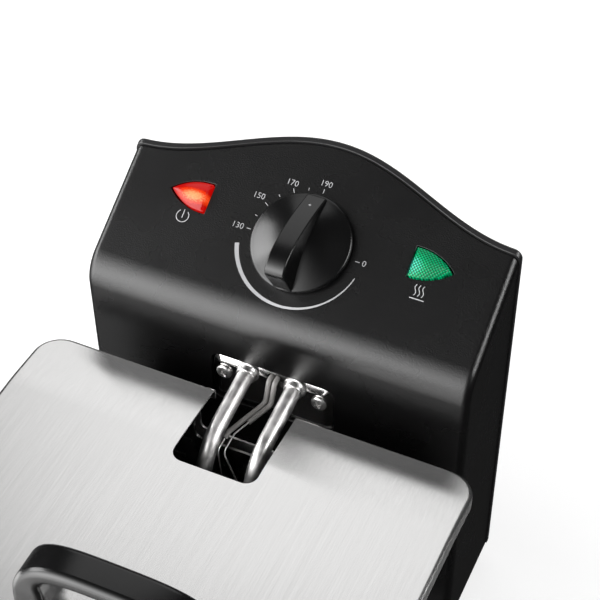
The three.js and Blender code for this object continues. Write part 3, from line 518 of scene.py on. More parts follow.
def panel_z(y, inset=0.0):
    """Height of the panel at y, with the surface drawn in by an inset."""
    return KNOB_AT.z + (y - KNOB_AT.y) * math.tan(SLOPE) - inset / math.cos(SLOPE)


def wave_y(x):
    """Rear edge of the front shell seen from above."""
    along = min(abs(x) / (HEAD_HALF - 0.5), 1)
    return BACK_EDGE + BACK_BULGE * (1 + math.cos(math.pi * along)) / 2


def side_inset(x):
    """How far the section is drawn in at x by the rounded side."""
    past = abs(x) - (HEAD_HALF - SIDE_RADIUS)
    return SIDE_RADIUS - math.sqrt(SIDE_RADIUS ** 2 - past ** 2) if past > 0 else 0.0


def stations(count=72, fillet=9):
    """Places across the head, close together where its sides are rounded."""
    flat = HEAD_HALF - SIDE_RADIUS
    left = [-flat - SIDE_RADIUS * math.sin(t) for t in reversed(quarter(fillet, 1))]
    middle = [-flat + 2 * flat * k / count for k in range(count + 1)]
    return left + middle + [-x for x in reversed(left)]


def head_section(inset, rear, rear_radius=0.0, bottom=SHELL_LOW.z):
    """Side view of the head as (y, z), drawn in by an inset and closed at a rear line."""
    front = HEAD_FRONT + inset
    corners = [
        (rear, bottom), (front, bottom), (front, panel_z(front, inset)), (rear, panel_z(rear, inset)),
    ]
    return rounded(corners, [0, 0, BEND_RADIUS - inset, rear_radius], 16)


def front_shell():
    rings = []
    for x in stations():
        section = head_section(side_inset(x), wave_y(x), RIM_RADIUS)
        rings.append([(x, y, z) for y, z in section])
    hollow = prism(head_section(WALL, FAR, 0, SHELL_LOW.z + WALL), "x", -HEAD_HALF + WALL, HEAD_HALF - WALL)
    grow = 0.4
    plate = rounded(rectangle(
        PLATE_LOW.x - grow, PLATE_HIGH.x + grow, PLATE_LOW.z - grow, PLATE_HIGH.z + grow,
    ), 5.4)
    start, end = HEAD_FRONT - 3, HEAD_FRONT + WALL + 2
    plunger_at = centre_of("switch_plunger")
    holes = [
        hollow, prism(plate, "y", start, end), bore(3.6, plunger_at.x, plunger_at.z, start, end, 32),
        moved(prism(circle(4.5, 32), "z", -6, 3), PANEL_MATRIX),
        *(moved(lens_block(side, 0.7, -6, 3), PANEL_MATRIX) for side in (-1, 1)),
    ]
    shell = boolean(skin(rings), holes)

    def on_plate_rim(p):
        return p.y < HEAD_FRONT + 0.01 and abs(p.x) < PLATE_HIGH.x + 1 and p.z > PLATE_LOW.z - 1

    def on_lens_rim(p):
        away = (p - KNOB_AT).dot(PANEL_OUT)
        return abs(away) < 0.01 and 48 < abs(p.x) < 75 and abs((p - KNOB_AT).dot(PANEL_UP) - 8) < 9

    soften(shell, 0.45, 3, 50, on_plate_rim)
    soften(shell, 0.7, 4, 50, on_lens_rim)
    add_piece("control_head_shell", shell, "head", TEXTURED_BLACK, ["front_shell"])


COVER_SCREWS = [
    f"cover_screw_{level}_{side}" for level in ("low", "high") for side in ("left", "right")
]
VENT_COUNT = 5
VENT_BOTTOM = 150.0
VENT_PITCH = 9.0
VENT_HEIGHT = 4.0
VENT_HALF = 34.0


def rear_cover():
    rings = []
    for x in stations():
        inset = side_inset(x) - COVER_PROUD
        near = wave_y(x) + CLEAR
        far = near + COVER_THICK
        bottom, top_near, top_far = COVER_LOW.z, panel_z(near, inset), panel_z(far, inset)
        corners = [(near, bottom), (far, bottom), (far, top_far), (near, top_near)]
        wide = x * COVER_HIGH.x / HEAD_HALF
        rings.append([(wide, y, z) for y, z in rounded(corners, [0.3, 0.8, 1.0, 0.35], 7)])
    start, end = COVER_LOW.y - 10, COVER_HIGH.y + 3
    round_holes = [("cord_gland", 6.3, 40), ("reset_button", 4.4, 40)]
    round_holes += [(screw, 2.3, 24) for screw in COVER_SCREWS]
    holes = []
    for node, radius, sides in round_holes:
        at = centre_of(node)
        holes.append(bore(radius, at.x, at.z, start, end, sides))
    for k in range(VENT_COUNT):
        low = VENT_BOTTOM + VENT_PITCH * k
        slot = rectangle(-VENT_HALF, VENT_HALF, low, low + VENT_HEIGHT)
        holes.append(prism(rounded(slot, VENT_HEIGHT / 2 - 0.05, 6), "y", start, end))
    cover = boolean(skin(rings), holes)
    soften(cover, 0.35, 2, 60, lambda p: abs(p.x) < HEAD_HALF - 6 and COVER_LOW.z + 4 < p.z < 210)
    # The cover takes the lighter black, a painted sheen on its rim band.
    add_piece("rear_cover_shell", cover, "head", COVER_BLACK_PAINTED_SHEEN, ["rear_cover"])

# ---------------------------------------------------------------- pilot lights

LENS_INNER = 52.0                # u of the straight end, next to the knob
LENS_TIP = 71.0
LENS_BELLY = 63.0
LENS_LOW = 1.0
LENS_MIDDLE = 8.0


def lens_edge(share, grow=0.0):
    """Place along u and half width of the lens at a share of its length."""
    start, belly, tip = (1 - share) ** 2, 2 * share * (1 - share), share ** 2
    along = start * (LENS_INNER - grow) + belly * (LENS_BELLY + grow) + tip * (LENS_TIP + 1.5 * grow)
    low = start * (LENS_LOW - grow) + belly * (LENS_LOW - 0.5 - grow) + tip * LENS_MIDDLE
    return along, LENS_MIDDLE - low


def lens_block(side, grow, low, high, steps=24):
    """The lens outline as a straight-sided block, in panel coordinates."""
    lower = [lens_edge(k / steps, grow) for k in range(steps + 1)]
    outline = [(side * u, LENS_MIDDLE - half) for u, half in lower]
    outline += [(side * u, LENS_MIDDLE + half) for u, half in reversed(lower[:-1])]
    return prism(outline, "z", low, high)


def lens(name, side, finish, stands_for, pattern):
    """A raised lens: a sloping facet at the inner end, a barrel back and a pointed tip."""
    crest, foot, edge = 3.3, -WALL - 1.5, 0.35
    across, along = (72, 84) if pattern else (32, 40)
    shares = [0.0, 0.055] + [0.055 + 0.945 * k / along for k in range(1, along)] + [0.997]
    rings = []
    for k, share in enumerate(shares):
        u, half = lens_edge(share)
        height = edge if k == 0 else edge + (crest - edge) * (1 - share ** 2.6) ** 0.8
        ring = [(side * u, LENS_MIDDLE - half, foot)]
        for j in range(across + 1):
            t = -1 + 2 * j / across
            w = edge + (height - edge) * (1 - abs(t) ** 2.1)
            v = LENS_MIDDLE + half * t
            if pattern and k > 0 and 0 < j < across:
                w += diamond(u, v) * min(1, (1 - abs(t)) * 6)
            ring.append((side * u, v, w))
        ring.append((side * u, LENS_MIDDLE + half, foot))
        rings.append(ring)
    body = moved(skin(rings), PANEL_MATRIX)
    add_piece(name, body, "head", finish, stands_for, 25 if pattern else 40)


def diamond(u, v, pitch=PRISM_PITCH, depth=0.45):
    """Height of a grid of small pyramids."""
    rise = 0.0
    for turned in ((u + v) / math.sqrt(2), (u - v) / math.sqrt(2)):
        rise += abs((turned / pitch) % 1 - 0.5)
    return depth * (rise - 0.5)


def pilot_lights():
    lens("power_light_lens", -1, RED_LENS, ["power_lens"], False)
    lens("ready_light_lens", 1, GREEN_LENS, ["ready_lens"], True)


# ---------------------------------------------------------------- dial print

PRINT_LIFT = 0.04
PRINT_THICK = 0.03
TICK_RADIUS = 27.6
LONG_TICK = (2.2, 0.34)          # length and width
SHORT_TICK = (1.3, 0.3)
SIGN_LINE = 0.36
POWER_SIGN_AT = (-61.0, -3.6)
HEAT_SIGN_AT = (59.6, -7.0)


def ribbon(points, widths):
    """A flat strip along a line of (u, v) points, with one width or one for each point."""
    points = [Vector(p) for p in points]
    if not isinstance(widths, list):
        widths = [widths] * len(points)
    near, far = [], []
    for k, point in enumerate(points):
        ahead = (points[min(k + 1, len(points) - 1)] - points[max(k - 1, 0)]).normalized()
        side = Vector((-ahead.y, ahead.x)) * widths[k] / 2
        near.append(point + side)
        far.append(point - side)
    return prism(near + far[::-1], "z", PRINT_LIFT, PRINT_LIFT + PRINT_THICK)


def polar(radius, degrees):
    return radius * math.cos(math.radians(degrees)), radius * math.sin(math.radians(degrees))


def arc(radius, start, end, steps=48, middle=(0, 0)):
    points = [polar(radius, start + (end - start) * k / steps) for k in range(steps + 1)]
    return [(middle[0] + u, middle[1] + v) for u, v in points]


def number(text, height, middle):
    """A printed number, upright on the panel."""
    curve = bpy.data.curves.new("number", "FONT")
    curve.body = text
    curve.size = height * 1.42
    curve.align_x = "CENTER"
    curve.align_y = "CENTER"
    curve.resolution_u = 6
    curve.extrude = PRINT_THICK / 2
    curve.offset = -0.035
    obj = linked("number", curve)
    bpy.context.view_layer.update()
    evaluated = obj.evaluated_get(bpy.context.evaluated_depsgraph_get())
    bm = bmesh_from(bpy.data.meshes.new_from_object(evaluated))
    bpy.data.objects.remove(obj)
    bmesh.ops.remove_doubles(bm, verts=bm.verts, dist=1e-4)
    return shifted(bm, middle[0], middle[1], PRINT_LIFT + PRINT_THICK / 2)


def dial_print():
    """Scale, numbers and the warming wedge round the knob, and a sign under each light."""
    parts = []
    for degrees in (0, *range(90, 181, 15)):
        length, width = SHORT_TICK if degrees % 30 else LONG_TICK
        parts.append(ribbon([polar(TICK_RADIUS + end * length / 2, degrees) for end in (-1, 1)], width))
    for text, degrees, radius in (
        ("130", 180, 33.4), ("150", 150, 33.4), ("170", 120, 31.6), ("190", 90, 31.4), ("0", 0, 30.9),
    ):
        parts.append(number(text, 2.9, polar(radius, degrees)))
    steps = 96
    wedge = [polar(30.2 + 1.3 * k / steps, -15 - 150 * k / steps) for k in range(steps + 1)]
    parts.append(ribbon(wedge, [0.4 + 1.7 * k / steps for k in range(steps + 1)]))
    u, v = POWER_SIGN_AT
    parts.append(ribbon(arc(3.1, 90 + 38, 360 + 90 - 38, 40, POWER_SIGN_AT), SIGN_LINE))
    parts.append(ribbon([(u, v - 1.0), (u, v + 3.3)], SIGN_LINE))
    u, v = HEAT_SIGN_AT
    for k in (-1, 0, 1):
        wave = [(u + 1.9 * k + 0.55 * math.sin(math.pi * i / 8), v + 5.4 * i / 16) for i in range(17)]
        parts.append(ribbon(wave, SIGN_LINE))
    parts.append(ribbon([(u - 3.4, v - 1.4), (u + 3.6, v - 1.4)], 0.45))
    add_piece("dial_print", moved(merged(parts), PANEL_MATRIX), "head", PRINT)


# ---------------------------------------------------------------- knob

KNOB_RADIUS = 24.3
KNOB_SKIRT = 4.0
KNOB_DOME = 11.0
BAR_HEIGHT = 26.0
BAR_HALF = 4.8
POINTER_HEIGHT = 6.8


def quadratic(a, b, c, steps):
    """Points of a curve from a to c that bends towards b."""
    a, b, c = Vector(a), Vector(b), Vector(c)
    shares = [k / steps for k in range(steps + 1)]
    return [a * (1 - t) ** 2 + b * 2 * t * (1 - t) + c * t ** 2 for t in shares]


def knob():
    profile = [(0.0, 0.6), (KNOB_RADIUS - 1.2, 0.6), (KNOB_RADIUS - 0.5, 1.1)]
    profile += arc(1.5, 0, 62, 8, (KNOB_RADIUS - 1.5, KNOB_SKIRT - 0.6))
    radius, height = profile[-1]
    steps = 26
    for k in range(1, steps + 1):
        share = k / steps
        rise = (KNOB_DOME - height) * math.sin(share * math.pi / 2) ** 1.1
        profile.append((radius * (1 - share), height + rise))
    end = KNOB_RADIUS - 0.6
    shoulder = (-end + 8, BAR_HEIGHT)
    slope = (shoulder, (-1, BAR_HEIGHT - 1.2), (end - 1, POINTER_HEIGHT))
    side = [Vector((-end, 1.6)), *quadratic((-end, BAR_HEIGHT - 6), (-end, BAR_HEIGHT), shoulder, 10)]
    side += [*quadratic(*slope, 20)[1:], Vector((end - 1, 1.6))]
    bar = soften(prism(side, "x", -BAR_HALF, BAR_HALF), 0.75, 4, 50)
    bar = boolean(bar, [prism(circle(KNOB_RADIUS - 0.2, 128), "z", 0, BAR_HEIGHT + 2)], "INTERSECT")
    whole = boolean(lathe(profile, 128), [bar], "UNION")
    whole = moved(boolean(whole, [prism(circle(3.3, 32), "z", -1, 8)]), PANEL_MATRIX)
    add_piece("dial_knob", whole, "knob", SMOOTH_BLACK, ["control_knob"], 40)
    at = quadratic(*slope, 50)[43]
    tilt = math.atan2(BAR_HEIGHT - 1.2 - POINTER_HEIGHT, end)
    dot = laid(prism(circle(0.62, 24), "z", -0.3, 0.04), 0, at.x, at.y, -tilt)
    add_piece("knob_dot", moved(dot, PANEL_MATRIX), "knob", PRINT)


# ---------------------------------------------------------------- screws

def pan_head(radius, height, shank, length):
    """A pan-head screw on Z with a cross recess in its top and a ridged shank."""
    profile = [(0.0, -length), (shank - 0.4, -length), (shank, 0.6 - length)]
    turns = int(length / 0.9)
    for k in range(1, turns):
        z = -length + 0.6 + k * (length - 0.8) / turns
        profile.append((shank - (0.22 if k % 2 else 0.0), z))
    profile += [(shank, 0.0), (radius - 0.15, 0.0), (radius, 0.15)]
    for t in quarter(10, 1):
        profile.append((max(radius * math.cos(t), 0.0), height * (0.3 + 0.7 * math.sin(t))))
    arm, slot = radius * 0.56, radius * 0.13
    corner = [(slot, slot), (slot, arm), (-slot, arm)]
    cross = []
    for _ in range(4):
        cross += corner
        corner = [(-y, x) for x, y in corner]
    bottom = [(x * 0.55, y * 0.55, height * 0.25) for x, y in cross]
    top = [(x, y, height * 1.1) for x, y in cross]
    return boolean(lathe(profile, 40), [skin([bottom, top])])


def screw_piece(name, body, facing, radius, height, shank, node, lift=0.0):
    """A screw in place of a CAD one; facing is the way its head looks."""
    low, high = span(node)
    axis = Vector(facing)
    reach = abs((high - low).dot(axis))
    head_top = (low + high) / 2 + axis * (reach / 2 + lift)
    turn = Vector((0, 0, 1)).rotation_difference(axis).to_matrix().to_4x4()
    spin = Matrix.Rotation(math.radians(23), 4, "Z")
    screw = moved(
        pan_head(radius, height, shank, reach - height),
        Matrix.Translation(head_top - axis * height) @ turn @ spin,
    )
    add_piece(name, screw, body, SCREW_STEEL, [node])


# ---------------------------------------------------------------- heating element

TUBE_RADIUS = 4.0
TUBE_X = 12.3
TUBE_Z = 155.7
LOOP_INNER = 24.0                # x of the element's inner runs
LOOP_Z = 45.0
BULB_X = 5.0
BULB_Z = 52.2
CAPILLARY_X = (-0.25, 2.75)
SLEEVE_RADIUS = 1.25
CAPILLARY_RADIUS = 0.42
PLATE_PROUD = 1.2                # how far the domed plate stands in front of its flat blank


def element_path():
    drop = HEAD_FRONT - 2.5
    leg = 106.6
    leg_top = TUBE_Z - (drop - leg) * math.tan(math.radians(9))
    outer, front, rear = 66.0, -82.0, 68.0
    half = [
        (-TUBE_X, 186, TUBE_Z), (-TUBE_X, drop, TUBE_Z), (-TUBE_X, leg, leg_top), (-TUBE_X, leg, LOOP_Z),
        (-outer, leg, LOOP_Z), (-outer, front, LOOP_Z),
        (-LOOP_INNER, front, LOOP_Z), (-LOOP_INNER, rear, LOOP_Z),
    ]
    mirrored = [(-x, y, z) for x, y, z in reversed(half)]
    u_turn = (outer - LOOP_INNER) / 2 - 0.05
    radii = [24, 24, 12, 14, u_turn, u_turn, LOOP_INNER - 0.05]
    return bent(half + mirrored, radii + radii[::-1], 14)


def capillary_path(start, bulb_x):
    return bent([
        (start, 174, 156.7), (start, 154.8, 156.7), (start, 150.5, 146), (start - 10, 131, 141),
        (start - 10.5, 120, 139), (bulb_x, 113.5, 122), (bulb_x, 113.5, 62), (bulb_x, 98, BULB_Z),
        (bulb_x, 62, BULB_Z),
    ], [2, 4, 4, 4, 5, 8, 8], 8)


def element_plate():
    back, front = PLATE_HIGH.y, PLATE_LOW.y - PLATE_PROUD
    rings = []
    for inset, sunk in ((0, 1), (0, 0.98), (0.1, 0.93), (0.3, 0.88), (4.3, 0.08), (4.7, 0.02), (4.95, 0)):
        outline = rounded(rectangle(
            PLATE_LOW.x + inset, PLATE_HIGH.x - inset, PLATE_LOW.z + inset, PLATE_HIGH.z - inset,
        ), 5.0 - inset, 10)
        rings.append([(x, front + (back - front) * sunk, z) for x, z in outline])
    ends = (front - 1, back + 1)
    holes = [bore(TUBE_RADIUS + 0.3, side * TUBE_X, TUBE_Z, *ends, 48) for side in (-1, 1)]
    slot = rounded(rectangle(CAPILLARY_X[0] - 2, CAPILLARY_X[1] + 2, 154.6, 158.8), 1.9, 8)
    holes.append(prism(slot, "y", *ends))
    for side in ("left", "right"):
        at = centre_of(f"plate_screw_{side}")
        holes.append(bore(2.1, at.x, at.z, *ends))
    add_piece(
        "element_mounting_plate", boolean(skin(rings), holes), "head",
        PLATE_STEEL, ["element_plate"],
    )


def sensor(name, start, bulb_x, sleeve_end):
    """One capillary, partly in a sleeve, with the bulb at its end."""
    path = resampled(capillary_path(start, bulb_x), 0.8)
    cut = next(k for k, p in enumerate(path) if p.y < sleeve_end)
    add_piece(
        f"{name}_sleeve", tube(path[:cut], SLEEVE_RADIUS, 24), "head",
        SILICONE, [f"{name}_capillary"],
    )
    add_piece(
        f"{name}_capillary_tube", tube(path[cut - 3:], CAPILLARY_RADIUS, 16), "head",
        TUBE_STEEL,
    )
    low, high = span(f"{name}_bulb")
    radius, length = (high.x - low.x) / 2, high.y - low.y
    neck = radius * 0.55
    profile = [(radius * math.sin(t), radius * (1 - math.cos(t))) for t in quarter(8)]
    profile += [(radius, length - 6), (neck, length - 3), (neck, length), (0.0, length)]
    turned_piece(f"{name}_sensor", profile, 32, "head", BULB_STEEL, f"{name}_bulb")


def element_parts():
    add_piece(
        "heating_tube", tube(element_path(), TUBE_RADIUS, 40), "head",
        TUBE_STEEL, ["heating_element"],
    )
    element_plate()
    inside = TUBE_RADIUS + 0.06
    flare = [(5.9, 0.3), (5.4, 0.6), (5.1, 1.2), (4.95, 2.0), (4.85, 2.9), (4.7, 3.3), (4.5, 3.5)]
    for side, sign in (("left", -1), ("right", 1)):
        collar = lathe([(inside, 0.0), (5.9, 0.0), *flare, (inside, 3.5)], 56, ring=True)
        laid(collar, sign * TUBE_X, PLATE_LOW.y - PLATE_PROUD + 0.2, TUBE_Z, math.pi / 2)
        stands_for = [f"element_bush_{side}"]
        add_piece(f"tube_collar_{side}", collar, "head", SCREW_STEEL, stands_for)
        screw_piece(
            f"plate_screw_head_{side}", "head", (0, -1, 0), 4.0, 1.7, 1.7,
            f"plate_screw_{side}", PLATE_PROUD - 0.3,
        )
    sensor("thermostat", CAPILLARY_X[0], -BULB_X, 127.0)
    sensor("cutout", CAPILLARY_X[1], BULB_X, 138.0)
    low, high = span("bulb_clip")
    bores = []
    for radius, x, z in ((TUBE_RADIUS + 0.3, LOOP_INNER, LOOP_Z), (3.3, BULB_X, BULB_Z)):
        bores += [bore(radius, side * x, z, low.y - 1, high.y + 1, 32) for side in (-1, 1)]
    clip = boolean(soft_block("bulb_clip", 1.2), bores)
    add_piece("sensor_clip", clip, "head", TUBE_STEEL, ["bulb_clip"])


def resampled(path, step):
    """The same path with a point at least every step."""
    points = [path[0]]
    for near, far in zip(path, path[1:]):
        count = max(1, math.ceil((far - near).length / step))
        points += [near.lerp(far, k / count) for k in range(1, count + 1)]
    return points

# ---------------------------------------------------------------- lid

LID_TOP = LID_HIGH.z
LID_CORNER = 14.0
LID_EDGE = 2.2
LID_SHEET = 0.8
CROWN_START = LID_LOW.y + 5
CROWN_TOP = 102.0
CROWN_TURN = 8.0
CROWN_SLOPE = 0.08
CROWN_RISE = 1.5


def ring_at(x0, x1, y0, y1, radius, inset, z, steps=10):
    """A rounded rectangle drawn in by an inset, at a height."""
    outline = rounded(rectangle(x0 + inset, x1 - inset, y0 + inset, y1 - inset), radius - inset, steps)
    return [(x, y, z) for x, y in outline]


def lid_solid(inset, top, edge):
    """The lid's outside, or its inside when drawn in by an inset."""
    box = (LID_LOW.x, LID_HIGH.x, LID_LOW.y, LID_HIGH.y, LID_CORNER)
    rings = [ring_at(*box, inset, LID_LOW.z - (2 if inset else 0))]
    for turn in quarter(8):
        inward = inset + edge * (1 - math.cos(turn))
        rings.append(ring_at(*box, inward, top - edge + edge * math.sin(turn)))
    return skin(rings)


def crown(y):
    """Height that the pressed sheet gains at y: it swells near the rear and falls to the rear edge."""
    share = min(max((y - CROWN_START) / (CROWN_TOP - CROWN_START), 0), 1)
    past = max(y - CROWN_TOP, 0)
    turn = min(past, CROWN_TURN)
    fall = CROWN_SLOPE * (turn * turn / (2 * CROWN_TURN) + past - turn)
    return CROWN_RISE * share * share * (3 - 2 * share) - fall


def crowned(bm):
    """Cuts the sheet across where the crown curves and lifts each cut to it."""
    cuts = [CROWN_START + (CROWN_TOP - CROWN_START) * k / 16 for k in range(16)]
    cuts += [CROWN_TOP + CROWN_TURN * k / 12 for k in range(13)]
    for at in cuts:
        everything = [*bm.verts, *bm.edges, *bm.faces]
        bmesh.ops.bisect_plane(bm, geom=everything, plane_co=(0, at, 0), plane_no=(0, 1, 0), dist=1e-4)
    for vert in bm.verts:
        vert.co.z += crown(vert.co.y)
    return bm


def lid():
    outer = lid_solid(0.0, LID_TOP, LID_EDGE)
    inner = lid_solid(LID_SHEET, LID_TOP - LID_SHEET, LID_EDGE - LID_SHEET)
    low, high = LID_LOW.z - 2, LID_TOP + 2
    rear = rounded(rectangle(-21.1, 21.1, LID_HIGH.y - 47.5, LID_HIGH.y + 20), 6.0, 10)
    front = rounded(rectangle(-24, 24, LID_LOW.y - 20, LID_LOW.y + 26), 6.0, 10)
    screw_holes = [circle(2.3, 24, side * 38.0, 8.0) for side in (-1, 1)]
    cutters = [prism(shape, "z", low, high) for shape in (rear, front, *screw_holes)]
    pan = boolean(outer, [inner, *cutters])
    lid_pan = add_piece("lid_pan", crowned(pan), "lid", LID_STEEL, ["lid_panel"], 28)
    brush_map(lid_pan, (1, 0, 0.15), (0, 1, 0.3))
    strap = strap_handle(*span("lid_handle"))
    add_piece("lid_grip", strap, "lid", SMOOTH_BLACK, ["lid_handle"], 40)
    for side in ("left", "right"):
        screw_piece(f"lid_screw_head_{side}", "lid", (0, 0, -1), 3.6, 1.6, 1.5, f"lid_screw_{side}")


def strap_handle(low, high):
    """An arched strap that widens into a foot at each end."""
    middle = (low.y + high.y) / 2
    count = 72
    shares = [-1 + 2 * k / count for k in range(count + 1)]
    points = []
    for share in shares:
        angle = share * math.pi / 2
        x = (high.x - 8) * math.copysign(abs(math.sin(angle)) ** 0.62, angle)
        z = low.z + 5 + (high.z - low.z - 10) * max(math.cos(angle), 0) ** 0.55
        points.append(Vector((x, middle, z)))
    sections = []
    for k, (point, share) in enumerate(zip(points, shares)):
        ahead = (points[min(k + 1, count)] - points[max(k - 1, 0)]).normalized()
        if k in (0, count):
            ahead = Vector((0, 0, -math.copysign(1, share)))
            point = Vector((point.x, point.y, low.z))
        normal = ahead.cross(Vector((0, 1, 0)))
        width = 9.9 - 1.6 * math.cos(share * math.pi / 2)
        thick = 4.4 + 3.5 * abs(share) ** 5
        section = rounded(rectangle(-thick, thick, -width, width), min(thick, 3.4), 5)
        sections.append([point + normal * a + Vector((0, 1, 0)) * b for a, b in section])
    return skin(sections)


def brush_map(obj, across, along):
    """A UV map whose first axis runs across the brushing, so that the tangent follows it."""
    layer = obj.data.uv_layers.new(name="brush")
    for loop in obj.data.loops:
        at = obj.data.vertices[loop.vertex_index].co
        layer.data[loop.index].uv = (at.dot(Vector(across)), at.dot(Vector(along)))


# ---------------------------------------------------------------- oil pot

POT_HALF = 90.0
POT_FRONT = -108.4
POT_BACK = 127.6
FILL_MARKS = (104, 118, 131)     # heights of the marks on the rear wall
NOTCH_FLOOR = 135.0


def tub(box, wall, fillet, floor, top):
    """A pan with a filleted floor, up the outside to the top and down the inside."""
    rings = [(fillet * (1 - math.sin(t)), floor + fillet * (1 - math.cos(t))) for t in quarter(8)]
    rings += [(0, top), (wall, top)]
    inner, floor = fillet - wall, floor + wall
    for t in reversed(quarter(8)):
        rings.append((wall + inner * (1 - math.sin(t)), floor + inner * (1 - math.cos(t))))
    return skin([ring_at(*box, inset, z) for inset, z in rings])


def rear_notch(start, end, top):
    """Cutter for the opening in a rear wall where the element's legs pass."""
    notch = box_mesh(-26, 26, start, end, NOTCH_FLOOR, top)
    return soften(notch, 3, 4, 60, lambda p: p.z < NOTCH_FLOOR + 1)


def pot():
    top, wall = POT_HIGH.z, 1.2
    edge = wall / 2
    box = (-POT_HALF, POT_HALF, POT_FRONT, POT_BACK, 24.0)
    flange_box = (POT_LOW.x, POT_HIGH.x, POT_LOW.y, POT_HIGH.y, 12.0)
    rings = []
    for k in range(7):
        turn = math.pi * k / 6
        rings.append(ring_at(*flange_box, edge - edge * math.sin(turn), top - edge - edge * math.cos(turn)))
    mouth = skin([ring_at(*box, wall, z) for z in (top - 4, top + 2)])
    tank = boolean(skin(rings), [mouth])
    tank = boolean(tank, [tub(box, wall, 9.0, POT_LOW.z, top - edge)], "UNION")
    tank = boolean(tank, [rear_notch(POT_BACK - 5, POT_HIGH.y + 2, top + 3)])
    y = POT_BACK - wall
    marks = [tube([(-52, y, z), (-36 + 4 * k, y, z)], 0.9, 12) for k, z in enumerate(FILL_MARKS)]
    tank = boolean(tank, marks, "UNION")
    add_piece("oil_tank", tank, "pot", POT_STEEL, ["oil_pot"], 30)


# ---------------------------------------------------------------- housing

HOUSING_CORNER = 22.0


def housing():
    top, bottom = HOUSING_HIGH.z, HOUSING_LOW.z
    box = (HOUSING_LOW.x, HOUSING_HIGH.x, HOUSING_LOW.y, HOUSING_HIGH.y, HOUSING_CORNER)
    wall = 1.0
    section = [
        (0.35, bottom), (0, bottom + 0.35), (0, bottom + 6), (0.45, bottom + 6.6), (0.45, bottom + 8.2),
        (0, bottom + 8.8), (0, top - 0.4), (0.35, top), (wall - 0.3, top), (wall, top - 0.4), (wall, bottom),
    ]
    shell = skin([ring_at(*box, inset, z) for inset, z in section], joined=True)
    shell = boolean(shell, [rear_notch(HOUSING_HIGH.y - 5, HOUSING_HIGH.y + 5, top + 2)])
    stands_for = ["outer_housing"]
    piece = add_piece("housing_skin", shell, "housing", HOUSING_STEEL, stands_for, 28)
    brush_map(piece, (1, 1, 0), (0.01, 0, 1))

    low, high = span("base_plate")
    box = (low.x, high.x, low.y, high.y, HOUSING_CORNER)
    section = [(1.0, low.z), (0.2, low.z + 0.9), (0, high.z - 0.5), (0.3, high.z)]
    base = skin([ring_at(*box, inset, z) for inset, z in section])
    add_piece("base_tray", base, "housing", TEXTURED_BLACK, ["base_plate"])
    for node in ("foot_front_left", "foot_front_right", "foot_rear_left", "foot_rear_right"):
        foot(node)
    for side, sign in (("left", -1), ("right", 1)):
        carry_handle(f"carry_handle_{side}", sign)
        rail(f"guide_rail_{side}")
    finger = soft_block("switch_finger", 0.9)
    add_piece(
        "switch_finger_rib", finger, "housing", TEXTURED_BLACK, ["switch_finger"],
    )


def foot(node):
    """A rubber foot with a hollow underneath."""
    low, high = span(node)
    at = centre_of(node)
    r, h = (high.x - low.x) / 2, high.z
    bm = lathe([
        (0.0, 1.0), (r * 0.45, 1.0), (r * 0.55, 0.0), (r - 1.3, 0.0), (r - 0.3, 0.5), (r, 1.5),
        (r - 0.4, 4.0), (r - 1.0, h), (0.0, h),
    ], 48)
    add_piece(f"rubber_{node}", shifted(bm, at.x, at.y), "housing", RUBBER, [node])


def carry_handle(node, sign):
    """A bowed strap with thick ends, rounded all along its length."""
    low, high = span(node)
    root = low.x if sign > 0 else high.x
    middle = centre_of(node)
    reach = high.x - low.x - 4
    half = (high.y - low.y) / 2 - 6

    def bow(share):
        angle = max(-1, min(1, share)) * math.pi / 2
        along = half * math.copysign(abs(math.sin(angle)) ** 0.7, angle)
        return Vector((reach * max(math.cos(angle), 0) ** 0.42, along))

    sections = []
    count = 56
    for k in range(count + 1):
        share = -1 + 2 * k / count
        ahead = (bow(share + 0.02) - bow(share - 0.02)).normalized()
        if k in (0, count):
            ahead = Vector((-math.copysign(1, share), 0))
        normal = Vector((ahead.y, -ahead.x))
        thick = 3.2 + 2.8 * abs(share) ** 4
        tall = (high.z - low.z) / 2 - 0.6 * (1 - abs(share))
        ring = []
        for a, b in rounded(rectangle(-thick, thick, -tall, tall), min(thick, 3.0), 5):
            flat = bow(share) + normal * a
            ring.append((root + sign * max(flat.x, 0), middle.y + flat.y, middle.z + b))
        sections.append(ring)
    add_piece(f"side_{node}", skin(sections), "housing", SMOOTH_BLACK, [node], 40)


def rail(node):
    low, high = span(node)
    x = (low.x + high.x) / 2
    y = low.y
    channel = [
        (-9, 0), (9, 0), (9, 15), (3, 15), (3, 12), (6.5, 12),
        (6.5, 3), (-6.5, 3), (-6.5, 12), (-3, 12), (-3, 15), (-9, 15),
    ]
    body = prism([(x + a, y + b) for a, b in channel], "z", low.z + 3, high.z)
    stop = box_mesh(x - 9, x + 9, y, y + 15, low.z, low.z + 3.5)
    body = boolean(body, [stop], "UNION")
    soften(body, 0.4, 2, 60)
    add_piece(f"{node}_channel", body, "housing", TEXTURED_BLACK, [node])


# ---------------------------------------------------------------- basket

BASKET_CORNER = 20.0
WIRE_PITCH = 7.0


def basket():
    basket_mesh()
    low, high = span("basket_rim")
    bar = 2.0
    outline = ring_at(low.x, high.x, low.y, high.y, BASKET_CORNER + bar, bar, (low.z + high.z) / 2, 12)
    rim = tube(outline, bar, 20, closed=True)
    add_piece("basket_rim_bar", rim, "basket", WIRE_STEEL, ["basket_rim"], 60)

    low, high = span("basket_bracket")
    tab = rounded(rectangle(low.x, high.x, low.z, high.z), 4.0, 8)
    plate_low = high.y - 2.0
    plate = soften(prism(tab, "y", plate_low, high.y), 0.5, 3, 50)
    hanger = soften(box_mesh(-16, 16, low.y, plate_low + 1, 157.6, 159.3), 0.6, 3)
    eyes = [bore(2.3, side * 15.0, 164.0, plate_low - 1, high.y + 1, 32) for side in (-1, 1)]
    bracket = boolean(boolean(plate, [hanger], "UNION"), eyes)
    add_piece("handle_bracket", bracket, "basket", POLISHED_STEEL, ["basket_bracket"])


